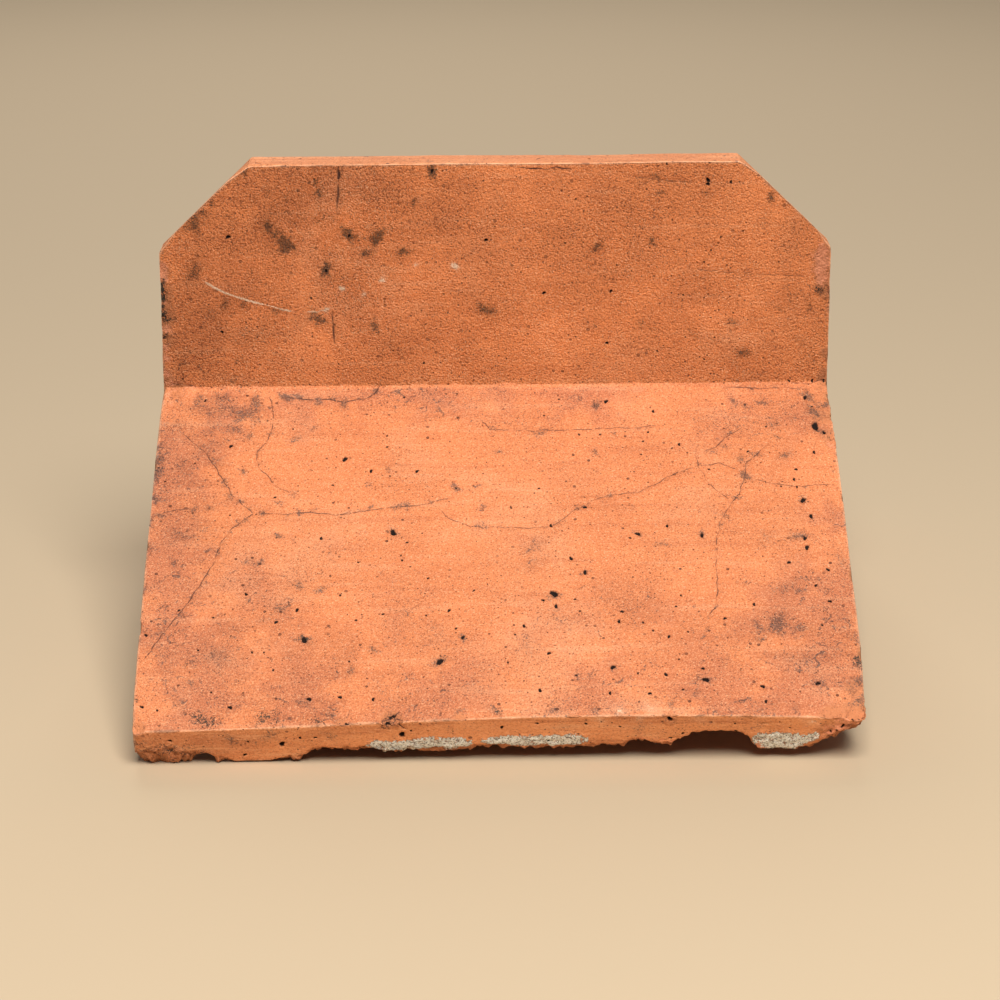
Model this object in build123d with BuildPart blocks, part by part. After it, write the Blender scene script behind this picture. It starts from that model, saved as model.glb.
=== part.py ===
# Crested ridge tile of fired clay, pressed and fired as one piece.
# Two wings slope down from the ridge, and a plain crest with clipped corners stands along it.
# X runs along the ridge, Y across it and Z up. The wings stand on their lower inner edges at Z = 0.
# The weathered front wing is on the -Y side. Lengths are millimetres and angles are degrees.

import os
from math import cos, radians, sin, tan

from build123d import *

# Wings
ridge_length = 305.0
wing_slope = 30.0
wing_width = 200.0
wing_thickness = 22.0
apex_radius = 12.0

# Crest
crest_height = 104.0
crest_thickness = 20.0
clip_width = 42.0
clip_height = 40.0
fold_radius = 2.5

# Worn edges
arris_radius = 1.5

# Breaks: where each one sits along its edge, its length there and its depth
spall_place = -14.0
spall_length = 134.0
spall_depth = 4.0
bite_place = 90.0
bite_length = 36.0
bite_depth = 8.0
chip_below_clip = 13.0
chip_length = 22.0
chip_depth = 3.0
corner_break_radius = 40.0
corner_break_depth = 10.0

# Slope of the wings as directions in the YZ plane
slope_cos = cos(radians(wing_slope))
slope_sin = sin(radians(wing_slope))

# Places that follow from the sizes. Rounding lifts a foot off its sharp corner by foot_lift.
half_length = ridge_length / 2
half_crest = crest_thickness / 2
foot_lift = arris_radius * (slope_cos + slope_sin - 1)
outer_arris_y = half_crest + wing_width * slope_cos
inner_arris_y = outer_arris_y - wing_thickness * slope_sin
inner_arris_z = -foot_lift
outer_arris_z = inner_arris_z + wing_thickness * slope_cos
apex_z = inner_arris_z + inner_arris_y * tan(radians(wing_slope))
fold_z = outer_arris_z + wing_width * slope_sin
crest_top_z = fold_z + crest_height
shoulder_z = crest_top_z - clip_height
tolerance = 0.01


def shell_radius(length, depth):
    """Radius of a shell-shaped break of this length and depth on a straight edge."""
    return ((length / 2) ** 2 + depth**2) / (2 * depth)


def break_off(corner, outward, radius, depth):
    """Take a shell-shaped break of this radius and depth out of an edge or a corner."""
    with Locations(corner + outward.normalized() * (radius - depth)):
        Sphere(radius, mode=Mode.SUBTRACT)


with BuildPart() as ridge_tile:
    # Wings: one bent section along the whole ridge
    with BuildSketch(Plane.YZ.offset(-half_length)):
        with BuildLine():
            Polyline(
                (0, apex_z),
                (inner_arris_y, inner_arris_z),
                (outer_arris_y, outer_arris_z),
                (half_crest, fold_z),
                (0, fold_z),
            )
            mirror(about=Plane.YZ)
        make_face()
    extrude(amount=ridge_length)
    ridge_lines = edges().filter_by(Axis.X).filter_by(lambda edge: abs(edge.center().Y) < tolerance)
    fillet(ridge_lines.sort_by(Axis.Z)[0], apex_radius)

    # Crest: an upright slab on the ridge with both top corners clipped
    with BuildSketch(Plane.XZ.offset(-half_crest)):
        with BuildLine():
            Polyline(
                (0, fold_z),
                (half_length, fold_z),
                (half_length, shoulder_z),
                (half_length - clip_width, crest_top_z),
                (0, crest_top_z),
            )
            mirror(about=Plane.YZ)
        make_face()
    extrude(amount=crest_thickness)

    # Fold: the small hollow where each side of the crest meets its wing
    long_edges = edges().filter_by(Axis.X)
    fillet(long_edges.filter_by(lambda edge: abs(edge.center().Z - fold_z) < tolerance), fold_radius)

    # Worn arrises: the lower edges, the crest's top edges and every edge of the two ends
    long_edges = edges().filter_by(Axis.X)
    low_edges = long_edges.filter_by(lambda edge: edge.center().Z < outer_arris_z + tolerance)
    top_edges = long_edges.filter_by(lambda edge: edge.center().Z > crest_top_z - tolerance)
    fillet(low_edges + top_edges + edges().filter_by(Axis.X, reverse=True), arris_radius)

    # Breaks along the lower inner edge of the front wing, and at its right end
    away_from_foot = Vector(0, slope_sin - slope_cos, -slope_sin - slope_cos)
    for place, length, depth in (
        (spall_place, spall_length, spall_depth),
        (bite_place, bite_length, bite_depth),
    ):
        foot = Vector(place, -inner_arris_y, inner_arris_z)
        break_off(foot, away_from_foot, shell_radius(length, depth), depth)
    foot_corner = Vector(half_length, -inner_arris_y, inner_arris_z)
    break_off(foot_corner, away_from_foot + Vector(0.6, 0, 0), corner_break_radius, corner_break_depth)

    # Chip in the crest's front edge under the right clip
    chipped_edge = Vector(half_length, -half_crest, shoulder_z - chip_below_clip)
    break_off(chipped_edge, Vector(1, -3, 0), shell_radius(chip_length, chip_depth), chip_depth)

ridge_tile.part.label = "ridge_tile"

os.makedirs("parts", exist_ok=True)
export_step(ridge_tile.part, "parts/ridge_tile.step")
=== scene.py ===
import math
import random

import bpy
import numpy as np
from mathutils import Matrix, Vector, kdtree, noise
from mathutils.geometry import delaunay_2d_cdt


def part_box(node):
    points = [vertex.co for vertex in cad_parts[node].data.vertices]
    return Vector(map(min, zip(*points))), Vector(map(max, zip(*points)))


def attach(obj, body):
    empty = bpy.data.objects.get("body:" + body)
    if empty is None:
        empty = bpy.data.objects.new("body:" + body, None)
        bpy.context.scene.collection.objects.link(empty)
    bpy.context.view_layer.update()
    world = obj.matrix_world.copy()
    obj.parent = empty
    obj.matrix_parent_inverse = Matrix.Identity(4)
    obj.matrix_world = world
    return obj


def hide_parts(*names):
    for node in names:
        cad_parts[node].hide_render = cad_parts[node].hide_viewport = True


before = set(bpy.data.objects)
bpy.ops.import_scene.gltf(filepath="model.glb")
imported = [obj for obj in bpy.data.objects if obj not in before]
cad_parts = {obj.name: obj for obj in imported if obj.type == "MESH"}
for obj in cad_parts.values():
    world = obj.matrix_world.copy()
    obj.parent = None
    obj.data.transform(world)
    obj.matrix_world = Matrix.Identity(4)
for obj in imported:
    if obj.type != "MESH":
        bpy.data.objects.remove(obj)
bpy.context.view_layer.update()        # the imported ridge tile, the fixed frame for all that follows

# A weathered crested ridge tile of fired clay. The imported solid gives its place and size.
# Its skin is made again here as one fine mesh, with the worn edges, breaks, pits and cracks
# of the old tile, and gets its clay, soot, stains and mortar.

mm = 0.001
dice = random.Random(1908)

# Sizes of the tile, the same as in the solid, but with a rounder fold between crest and wing
tile = {
    "slope": math.radians(30),
    "wingWidth": 200 * mm,
    "wingThickness": 22 * mm,
    "crestHeight": 104 * mm,
    "crestThickness": 20 * mm,
    "clipWidth": 42 * mm,
    "clipHeight": 40 * mm,
    "foldRadius": 4.5 * mm,
    "apexRadius": 12 * mm,
    "arrisRadius": 1.5 * mm,
}
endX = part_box("ridge_tile")[1][0]
halfCrest = tile["crestThickness"] / 2
slopeCos, slopeSin = math.cos(tile["slope"]), math.sin(tile["slope"])
outerY = halfCrest + tile["wingWidth"] * slopeCos
innerY = outerY - tile["wingThickness"] * slopeSin
innerZ = -tile["arrisRadius"] * (slopeCos + slopeSin - 1)
outerZ = innerZ + tile["wingThickness"] * slopeCos
apexZ = innerZ + innerY * math.tan(tile["slope"])
foldZ = outerZ + tile["wingWidth"] * slopeSin
topZ = foldZ + tile["crestHeight"]
shoulderZ = topZ - tile["clipHeight"]
topX = endX - tile["clipWidth"]
clipTurn = math.atan2(tile["clipHeight"], tile["clipWidth"])
clipRise, clipRun = math.sin(clipTurn), math.cos(clipTurn)

# How the tile warped in drying and firing. The front arris lifts by these heights, left to right.
warp = {
    "arrisLift": (0.0, 2.2 * mm, 5.0 * mm, 5.7 * mm, 3.9 * mm),
    "ridgeRise": 0.9 * mm,
    "sideBow": 1.1 * mm,
    "clipSkew": 1.7 * mm,       # how far the front edge of each clip stands proud of the back one
}

# Wear of the skin: how rounded its edges are, and how uneven its faces
wear = {
    "unevenness": ((42, 0.35), (9, 0.12), (2.6, 0.045)),    # size and height of each swell, mm
    "edgeRounding": 0.8,                                    # mm
    "rubbedWidth": 1.6,                                     # of the rubbed strip along an edge, mm
    "mortarThickness": 0.45,                                # mm
    "moreWorn": (                                           # face and pixel, added rounding, reach, mm
        ("crest", (250, 178), 2.4, 9),
        ("crest", (280, 169), 1.2, 14),
        ("crest", (166, 250), 1.2, 8),
        ("wing", (134, 738), 1.6, 10),
        ("wing", (863, 718), 1.5, 10),
        ("crest", (829, 250), 1.2, 8),
        ("wing", (165, 388), 1.0, 8),
        ("crest", (826, 384), 1.0, 10),
        ("crest", (520, 165), 1.4, 34),
        ("crest", (600, 164), 0.9, 20),
        ("crest", (380, 167), 0.9, 22),
        ("crest", (720, 164), 0.9, 10),
    ),
}

# The camera stands where the photograph was taken from
shot = {
    "lens": 110.0,
    "sensor": 36.0,
    "frame": 1000.0,
    "eye": Vector((-7.03, -1366.34, 486.19)) * mm,
    "tilt": math.radians(17.272),
    "roll": math.radians(-0.245),
    "turn": math.radians(0.370),
}
aim = (
    Matrix.Rotation(-shot["turn"], 3, "Z")
    @ Matrix.Rotation(math.pi / 2 - shot["tilt"], 3, "X")
    @ Matrix.Rotation(shot["roll"], 3, "Z")
)

# Marks on the tile, placed at pixels of the photograph. A spot has its pixel, its radius in
# millimetres and mostly its strength. A line has its strength and then the pixels that it passes.
crestMarks = {
    "grime": (
        (200, 320, 40, 0.6), (190, 250, 24, 0.5), (280, 200, 40, 0.45), (250, 350, 24, 0.4),
        (235, 245, 24, 0.45), (330, 240, 30, 0.35), (740, 330, 30, 0.25), (800, 300, 20, 0.35),
        (430, 200, 30, 0.25), (380, 340, 30, 0.2), (660, 200, 30, 0.2), (315, 190, 26, 0.7),
    ),
    "pits": (
        (228, 237, 1.1), (311, 298, 0.7), (222, 332, 0.8), (424, 363, 0.7), (486, 240, 0.9),
        (183, 379, 0.7), (708, 180, 1.1), (708, 184, 1.0), (710, 161, 0.9), (731, 182, 0.8),
        (667, 164, 0.6), (576, 199, 0.6), (565, 243, 0.6), (611, 291, 0.8), (544, 293, 0.9),
        (607, 343, 0.8), (657, 351, 0.6), (721, 237, 0.7), (743, 231, 0.6), (718, 243, 0.5),
        (711, 250, 0.6), (704, 262, 0.6), (654, 276, 0.5), (683, 295, 0.6), (704, 359, 0.6),
        (326, 271, 0.8), (432, 171, 0.9), (349, 236, 0.8), (789, 381, 0.7), (812, 381, 0.8),
        (824, 381, 0.7),
    ),
    "stains": (
        (268, 227, 3.0, 1.0), (276, 234, 2.4, 0.8), (286, 243, 3.4, 1.3), (284, 250, 2.5, 1.1),
        (349, 235, 3.1, 1.3), (377, 237, 3.4, 1.2), (366, 253, 2.6, 0.8), (404, 252, 2.8, 0.9),
        (326, 270, 2.8, 1.2), (194, 271, 5.0, 0.7), (194, 222, 4.4, 0.9), (204, 214, 3.0, 0.7),
        (317, 318, 3.4, 1.0), (225, 304, 2.6, 0.8), (244, 304, 2.4, 0.7), (277, 310, 2.4, 0.7),
        (486, 310, 3.4, 1.0), (375, 327, 2.8, 0.8), (432, 171, 2.7, 1.2), (319, 192, 3.4, 0.7),
        (414, 203, 2.0, 0.8), (398, 202, 1.4, 0.6), (253, 337, 8.0, 0.45), (210, 314, 6.0, 0.45),
        (240, 360, 3.0, 0.55), (180, 362, 4.0, 0.45), (597, 247, 2.4, 0.9), (652, 240, 2.2, 0.8),
        (661, 192, 2.0, 0.7), (656, 176, 2.2, 0.7), (771, 197, 2.4, 0.8), (766, 217, 5.0, 0.45),
        (731, 322, 2.6, 0.7), (743, 353, 2.8, 0.9), (694, 336, 2.2, 0.6), (781, 309, 2.4, 0.6),
        (809, 307, 2.4, 0.7), (641, 324, 2.2, 0.5), (549, 355, 2.0, 0.6), (706, 193, 2.0, 0.7),
        (412, 170, 2.0, 0.6), (374, 172, 2.0, 0.5), (315, 168, 2.5, 0.6), (244, 172, 2.0, 0.8),
        (212, 203, 1.6, 0.8), (286, 200, 2.2, 0.5), (268, 192, 2.2, 0.5), (436, 221, 2.2, 0.4),
        (472, 338, 3.0, 0.4), (392, 345, 3.0, 0.45), (360, 330, 2.2, 0.4), (275, 352, 2.5, 0.4),
        (560, 180, 2.0, 0.4), (520, 220, 2.0, 0.35), (618, 218, 2.0, 0.4), (694, 222, 2.0, 0.4),
        (680, 262, 2.0, 0.35), (760, 262, 3.0, 0.4), (800, 340, 3.5, 0.4), (584, 322, 2.2, 0.35),
    ),
    "soot": (
        (163, 258, 1.4, 0.6), (162, 284, 1.8, 0.8), (162, 291, 2.0, 0.9), (162, 299, 2.0, 0.9),
        (162, 307, 1.9, 0.8), (163, 315, 1.8, 0.8), (165, 321, 1.6, 0.7), (164, 337, 1.6, 0.7),
        (168, 312, 1.6, 0.4), (170, 340, 1.6, 0.35), (819, 289, 1.8, 0.7), (811, 287, 1.0, 0.5),
        (808, 280, 0.9, 0.5), (823, 292, 1.4, 0.6),
    ),
    "raw": (
        (161, 275, 2.4, 1.1), (162, 267, 2.0, 0.9), (165, 329, 1.8, 1.0), (166, 374, 2.2, 0.8),
        (166, 358, 1.8, 0.7), (166, 348, 1.8, 0.7), (164, 304, 1.0, 0.7), (727, 176, 0.8, 0.5),
        (822, 256, 3.4, 1.0), (823, 268, 3.2, 1.0), (823, 280, 2.6, 0.9), (170, 384, 2.4, 0.5),
        (190, 388, 2.4, 0.4),
    ),
    "pale": (
        (342, 289, 1.3, 1.2), (416, 263, 1.2, 1.1), (455, 266, 1.5, 1.1), (383, 279, 1.3, 1.1),
        (364, 295, 1.2, 0.9), (327, 309, 1.3, 1.1), (421, 198, 0.8, 0.9), (459, 290, 1.0, 0.6),
        (590, 355, 0.7, 0.5), (610, 172, 0.7, 0.5),
    ),
    "cracks": (
        (0.55, (692, 268), (713, 271), (735, 272), (768, 275), (809, 276)),
        (0.45, (176, 365), (202, 359), (227, 355), (240, 365)),
        (0.45, (238, 352), (236, 360), (238, 372)),
        (0.40, (480, 182), (504, 181), (526, 182)),
        (0.40, (534, 208), (555, 209), (574, 208)),
        (0.40, (430, 368), (433, 379), (437, 384)),
        (0.75, (770, 386), (790, 383), (808, 384), (825, 380)),
        (0.35, (420, 232), (440, 222), (446, 222)),
        (1.20, (515, 168), (540, 169), (556, 168), (572, 169)),
        (0.60, (575, 168), (586, 168), (598, 167)),
        (0.50, (478, 171), (486, 178), (497, 181), (512, 183)),
    ),
    "grooves": (
        (1.5, (338, 167), (339, 175), (338, 184)),
        (1.1, (338, 180), (338, 197), (337, 206), (337, 214)),
        (0.9, (332, 312), (333, 324), (334, 337), (334, 349)),
        (0.7, (630, 177), (646, 178), (668, 181), (692, 182)),
        (0.9, (172, 384), (182, 385), (192, 386), (197, 388)),
    ),
    "scratches": (
        (1.3, (202, 280), (215, 288), (230, 295), (246, 300), (263, 304), (280, 309), (296, 312)),
        (1.2, (304, 312), (318, 312), (327, 308)),
    ),
}
wingMarks = {
    "grime": (
        (175, 470, 22, 0.9), (168, 560, 24, 0.8), (185, 640, 26, 0.8), (200, 705, 22, 0.8),
        (225, 415, 16, 0.7), (255, 590, 22, 0.6), (300, 690, 24, 0.7), (440, 700, 26, 0.7),
        (590, 695, 24, 0.6), (720, 690, 26, 0.7), (810, 680, 24, 0.9), (835, 600, 20, 0.9),
        (785, 605, 20, 0.9), (838, 520, 12, 0.7), (806, 420, 14, 0.7), (735, 415, 20, 0.5),
        (300, 398, 18, 0.7), (430, 394, 18, 0.7), (580, 396, 18, 0.7), (560, 625, 26, 0.45),
        (400, 620, 26, 0.4), (650, 610, 22, 0.45), (500, 392, 14, 0.6), (530, 540, 10, 0.4),
        (335, 545, 14, 0.3),
        (665, 655, 20, 0.4), (240, 500, 12, 0.4), (360, 392, 14, 0.6),
    ),
    "pits": (
        (205, 401, 0.7), (231, 446, 1.0), (165, 481, 0.6), (293, 429, 0.6), (345, 459, 1.3),
        (371, 471, 0.9), (417, 471, 0.9), (387, 436, 0.6), (387, 447, 0.7), (393, 532, 1.5),
        (321, 538, 0.8), (275, 497, 0.7), (333, 485, 0.6), (407, 542, 0.7), (230, 515, 0.6),
        (195, 463, 0.6), (404, 397, 0.7), (446, 394, 0.6), (457, 394, 0.6), (401, 555, 0.6),
        (815, 425, 2.0), (824, 432, 0.9), (805, 397, 1.1), (812, 406, 0.7), (814, 452, 0.8),
        (606, 401, 1.1), (653, 411, 0.8), (544, 415, 0.6), (579, 434, 0.7), (600, 434, 0.7),
        (648, 432, 0.7), (643, 441, 0.7), (641, 454, 0.6), (679, 444, 0.8), (672, 448, 0.6),
        (709, 469, 0.7), (585, 507, 0.9), (511, 507, 0.7), (551, 525, 0.8), (638, 534, 1.1),
        (630, 538, 0.7), (702, 535, 1.0), (797, 487, 0.7), (803, 500, 1.3), (811, 516, 1.1),
        (805, 538, 1.0), (807, 547, 1.2), (796, 469, 0.8), (794, 479, 0.8), (781, 486, 0.6),
        (539, 488, 0.7), (559, 399, 0.6), (667, 526, 0.8), (571, 558, 1.0), (766, 426, 0.6),
        (748, 451, 0.7), (246, 594, 0.8), (340, 595, 0.7), (402, 560, 0.7), (428, 578, 0.7),
        (474, 590, 0.6), (358, 562, 0.6), (297, 610, 0.9), (276, 622, 0.9), (304, 640, 1.3),
        (252, 652, 0.7), (264, 652, 0.7), (356, 620, 0.7), (383, 614, 0.7), (449, 610, 0.8),
        (426, 615, 0.6), (440, 661, 1.6), (463, 637, 0.9), (456, 628, 0.7), (230, 707, 1.0),
        (189, 733, 0.7), (146, 635, 0.8), (142, 707, 0.8), (157, 710, 0.7), (211, 692, 0.6),
        (243, 693, 0.6), (340, 697, 0.9), (346, 724, 0.8), (373, 699, 0.8), (309, 699, 1.1),
        (198, 650, 0.7), (179, 610, 0.7), (213, 617, 0.7), (273, 670, 0.7), (349, 661, 0.7),
        (554, 593, 1.8), (556, 606, 1.0), (543, 600, 0.8), (575, 599, 0.7), (580, 611, 0.7),
        (524, 626, 0.8), (515, 634, 0.7), (549, 653, 0.9), (508, 662, 0.7), (622, 611, 0.8),
        (585, 572, 1.0), (619, 621, 0.9), (643, 622, 0.7), (669, 636, 0.8), (613, 667, 1.2),
        (666, 674, 0.9), (706, 679, 1.3), (650, 693, 0.8), (610, 693, 0.8), (683, 689, 0.7),
        (681, 595, 0.7), (754, 604, 0.8), (816, 585, 0.8), (830, 601, 0.9), (822, 625, 0.7),
        (789, 562, 0.9), (828, 569, 0.9), (763, 686, 1.0), (818, 683, 1.1), (766, 701, 0.8),
        (781, 728, 0.7), (727, 726, 0.8), (638, 673, 0.7), (703, 668, 0.8), (679, 659, 0.7),
        (688, 631, 0.7), (653, 630, 0.7), (725, 618, 0.8), (676, 606, 0.7), (540, 690, 0.9),
        (576, 675, 0.7), (456, 488, 0.6), (390, 476, 0.6), (854, 717, 0.7), (860, 716, 0.7),
    ),
    "stains": (
        (228, 410, 7.5, 0.7), (210, 412, 6.0, 0.6), (246, 414, 6.0, 0.9), (234, 430, 4.5, 0.7),
        (200, 402, 5.0, 0.7), (222, 399, 5.0, 0.7), (256, 402, 4.0, 0.9), (214, 430, 6.0, 0.5),
        (256, 420, 4.0, 0.7), (180, 402, 4.0, 0.5), (208, 446, 6.0, 0.5), (216, 462, 5.0, 0.5),
        (808, 396, 3.6, 1.0), (814, 412, 4.0, 0.9), (824, 405, 2.6, 0.9), (820, 430, 3.4, 0.8),
        (314, 429, 2.2, 0.7), (296, 439, 2.8, 0.8), (250, 436, 2.6, 0.8), (388, 470, 2.2, 0.7),
        (243, 471, 2.4, 0.8), (294, 494, 2.2, 0.7), (314, 510, 2.2, 0.7), (279, 503, 2.4, 0.7),
        (210, 508, 2.2, 0.7), (184, 536, 7.0, 0.6), (279, 536, 2.2, 0.8), (331, 553, 2.4, 0.6),
        (456, 488, 2.4, 0.9), (478, 486, 2.0, 0.7), (483, 507, 2.4, 0.7), (369, 484, 2.2, 0.7),
        (596, 405, 2.6, 1.0), (762, 403, 2.6, 0.9), (745, 406, 2.4, 0.8), (733, 401, 2.4, 0.8),
        (498, 451, 2.2, 0.8), (595, 452, 2.2, 0.8), (614, 433, 1.8, 0.7), (745, 476, 3.2, 1.0),
        (786, 455, 3.0, 0.8), (740, 458, 2.6, 0.8), (773, 424, 2.8, 0.7), (776, 436, 2.4, 0.7),
        (725, 447, 2.2, 0.7), (633, 508, 2.0, 0.6), (534, 546, 6.0, 0.6), (661, 544, 2.8, 0.7),
        (766, 539, 5.5, 0.5), (799, 536, 3.6, 0.8), (351, 671, 2.6, 0.8), (191, 683, 2.4, 0.7),
        (374, 650, 2.4, 0.8), (258, 563, 2.6, 0.8), (174, 563, 2.6, 0.7), (279, 609, 2.8, 0.8),
        (217, 657, 7.0, 0.55), (299, 586, 2.6, 0.8), (321, 590, 2.6, 0.8), (304, 703, 3.2, 0.8),
        (330, 716, 3.0, 0.8), (493, 710, 3.0, 0.8), (460, 711, 2.6, 0.7), (778, 624, 5.0, 1.0),
        (799, 629, 3.2, 0.9), (758, 627, 3.0, 0.8), (786, 588, 5.5, 0.6), (799, 591, 2.6, 0.8),
        (554, 711, 2.6, 0.8), (595, 711, 2.6, 0.7), (671, 703, 2.4, 0.7), (534, 563, 6.0, 0.5),
        (526, 642, 5.5, 0.5), (697, 693, 2.6, 0.7), (796, 710, 2.6, 0.7), (761, 639, 2.6, 0.7),
        (440, 661, 4.0, 0.8), (463, 637, 2.6, 0.7), (554, 597, 3.2, 0.8), (585, 572, 2.6, 0.7),
        (818, 683, 3.2, 0.7), (304, 640, 3.4, 0.9), (803, 500, 3.0, 0.7), (393, 532, 3.2, 0.7),
        (638, 534, 2.6, 0.7), (702, 535, 2.6, 0.8), (706, 679, 2.8, 0.8), (613, 667, 2.4, 0.6),
        (171, 430, 8.0, 0.45), (186, 470, 7.0, 0.45), (205, 530, 8.0, 0.4), (196, 590, 9.0, 0.35),
        (160, 655, 8.0, 0.4), (650, 660, 8.0, 0.3), (800, 660, 9.0, 0.4), (720, 560, 7.0, 0.3),
        (270, 640, 8.0, 0.4), (480, 690, 8.0, 0.35), (380, 690, 8.0, 0.4), (600, 590, 8.0, 0.3),
        (540, 520, 6.0, 0.3), (700, 420, 6.0, 0.4), (840, 560, 5.0, 0.5), (846, 620, 5.0, 0.5),
        (852, 690, 5.0, 0.5), (760, 715, 8.0, 0.4), (430, 400, 8.0, 0.3), (330, 395, 6.0, 0.35),
        (158, 448, 4.0, 0.9), (157, 460, 4.0, 1.0), (156, 474, 4.0, 1.0), (153, 498, 4.0, 0.9),
        (150, 522, 3.6, 0.8), (147, 548, 4.0, 0.7), (143, 590, 3.6, 0.6), (858, 640, 4.0, 0.7),
        (860, 662, 4.4, 0.9), (861, 680, 4.4, 0.8), (861, 700, 4.4, 0.8),
        (480, 525, 3.0, 0.7), (250, 560, 3.0, 0.6), (265, 620, 3.0, 0.6), (288, 655, 3.0, 0.5),
        (200, 560, 3.0, 0.5), (430, 640, 3.0, 0.4), (240, 680, 3.0, 0.5), (180, 705, 4.0, 0.5),
    ),
    "soot": (
        (391, 719, 2.2, 0.5), (204, 720, 3.6, 0.6), (214, 721, 3.0, 0.5), (197, 718, 3.0, 0.5),
        (263, 718, 3.6, 0.55), (275, 717, 3.0, 0.5), (256, 720, 2.6, 0.45), (858, 662, 3.0, 0.6),
        (304, 639, 1.6, 0.8),
        (596, 404, 1.6, 0.6), (817, 430, 1.8, 0.4), (826, 436, 1.8, 0.4), (318, 721, 2.4, 0.6),
        (341, 728, 2.2, 0.5), (500, 713, 2.4, 0.4), (834, 470, 1.2, 0.4), (852, 590, 1.2, 0.4),
        (148, 560, 1.2, 0.4), (140, 625, 1.4, 0.5), (158, 470, 1.4, 0.4), (137, 700, 1.4, 0.5),
    ),
    "raw": (
        (848, 727, 3.0, 0.8), (838, 734, 2.4, 0.7), (832, 443, 1.4, 0.6), (135, 733, 1.6, 0.5),
        (190, 395, 3.0, 0.25), (168, 396, 3.0, 0.4),
    ),
    "pale": (
        (430, 487, 0.9, 0.6), (388, 488, 0.8, 0.5), (640, 388, 3.0, 0.3), (620, 712, 5.0, 0.5),
        (650, 708, 5.0, 0.5), (680, 712, 4.0, 0.4), (604, 716, 3.0, 0.4), (530, 720, 4.0, 0.35),
        (560, 716, 4.0, 0.35), (180, 440, 3.0, 0.25), (560, 480, 20.0, 0.15),
    ),
    "cracks": (
        (1.50, (279, 397), (296, 398), (314, 400), (330, 399), (345, 402), (370, 397), (381, 386)),
        (0.80, (266, 393), (273, 406), (272, 429), (266, 443), (256, 452), (258, 467), (279, 488),
         (294, 494)),
        (0.90, (152, 515), (176, 510), (202, 507)),
        (1.00, (253, 513), (279, 514), (312, 512), (335, 515), (355, 512), (381, 508), (416, 505),
         (452, 498)),
        (0.80, (434, 505), (449, 518), (470, 526), (500, 527)),
        (0.95, (184, 434), (207, 454), (217, 470), (233, 495), (253, 513), (233, 528), (220, 544),
         (215, 560), (199, 586), (185, 606), (166, 629), (154, 646), (143, 662)),
        (0.85, (698, 457), (698, 466), (707, 480), (717, 490), (731, 500)),
        (0.85, (763, 447), (747, 463), (745, 475), (740, 493), (730, 503), (722, 518), (717, 536),
         (716, 565), (718, 588), (716, 606), (707, 616)),
        (0.80, (698, 466), (676, 473), (659, 482), (638, 492), (608, 495), (590, 502), (574, 510),
         (551, 526), (528, 528), (480, 526)),
        (0.80, (699, 465), (720, 463), (740, 471)),
        (0.80, (750, 425), (730, 434), (717, 445), (702, 453)),
        (0.80, (750, 479), (768, 482), (794, 486), (833, 484)),
        (0.80, (480, 419), (490, 429), (531, 430), (592, 429), (613, 427), (636, 428), (659, 424)),
        (0.45, (669, 428), (675, 431), (681, 435)),
        (0.40, (591, 416), (592, 422), (593, 429)),
        (1.10, (722, 388), (746, 387), (760, 389), (782, 387), (799, 388)),
        (0.40, (820, 432), (815, 445), (812, 462)),
        (0.35, (196, 566), (214, 552), (220, 544)),
        (0.35, (480, 452), (500, 455), (520, 450)),
        (2.00, (384, 719), (390, 716), (398, 712)),
        (1.80, (393, 715), (398, 717), (402, 719)),
    ),
    "grooves": (
        (0.3, (204, 400), (222, 397), (243, 396), (262, 398)),
        (0.6, (688, 678), (700, 679), (714, 679)),
    ),
    "scratches": (
        (0.35, (631, 672), (630, 700), (634, 712)),
        (0.30, (640, 680), (652, 700), (664, 706)),
        (0.25, (531, 640), (532, 665), (533, 690)),
        (0.25, (470, 560), (472, 580), (474, 600)),
    ),
}
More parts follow.
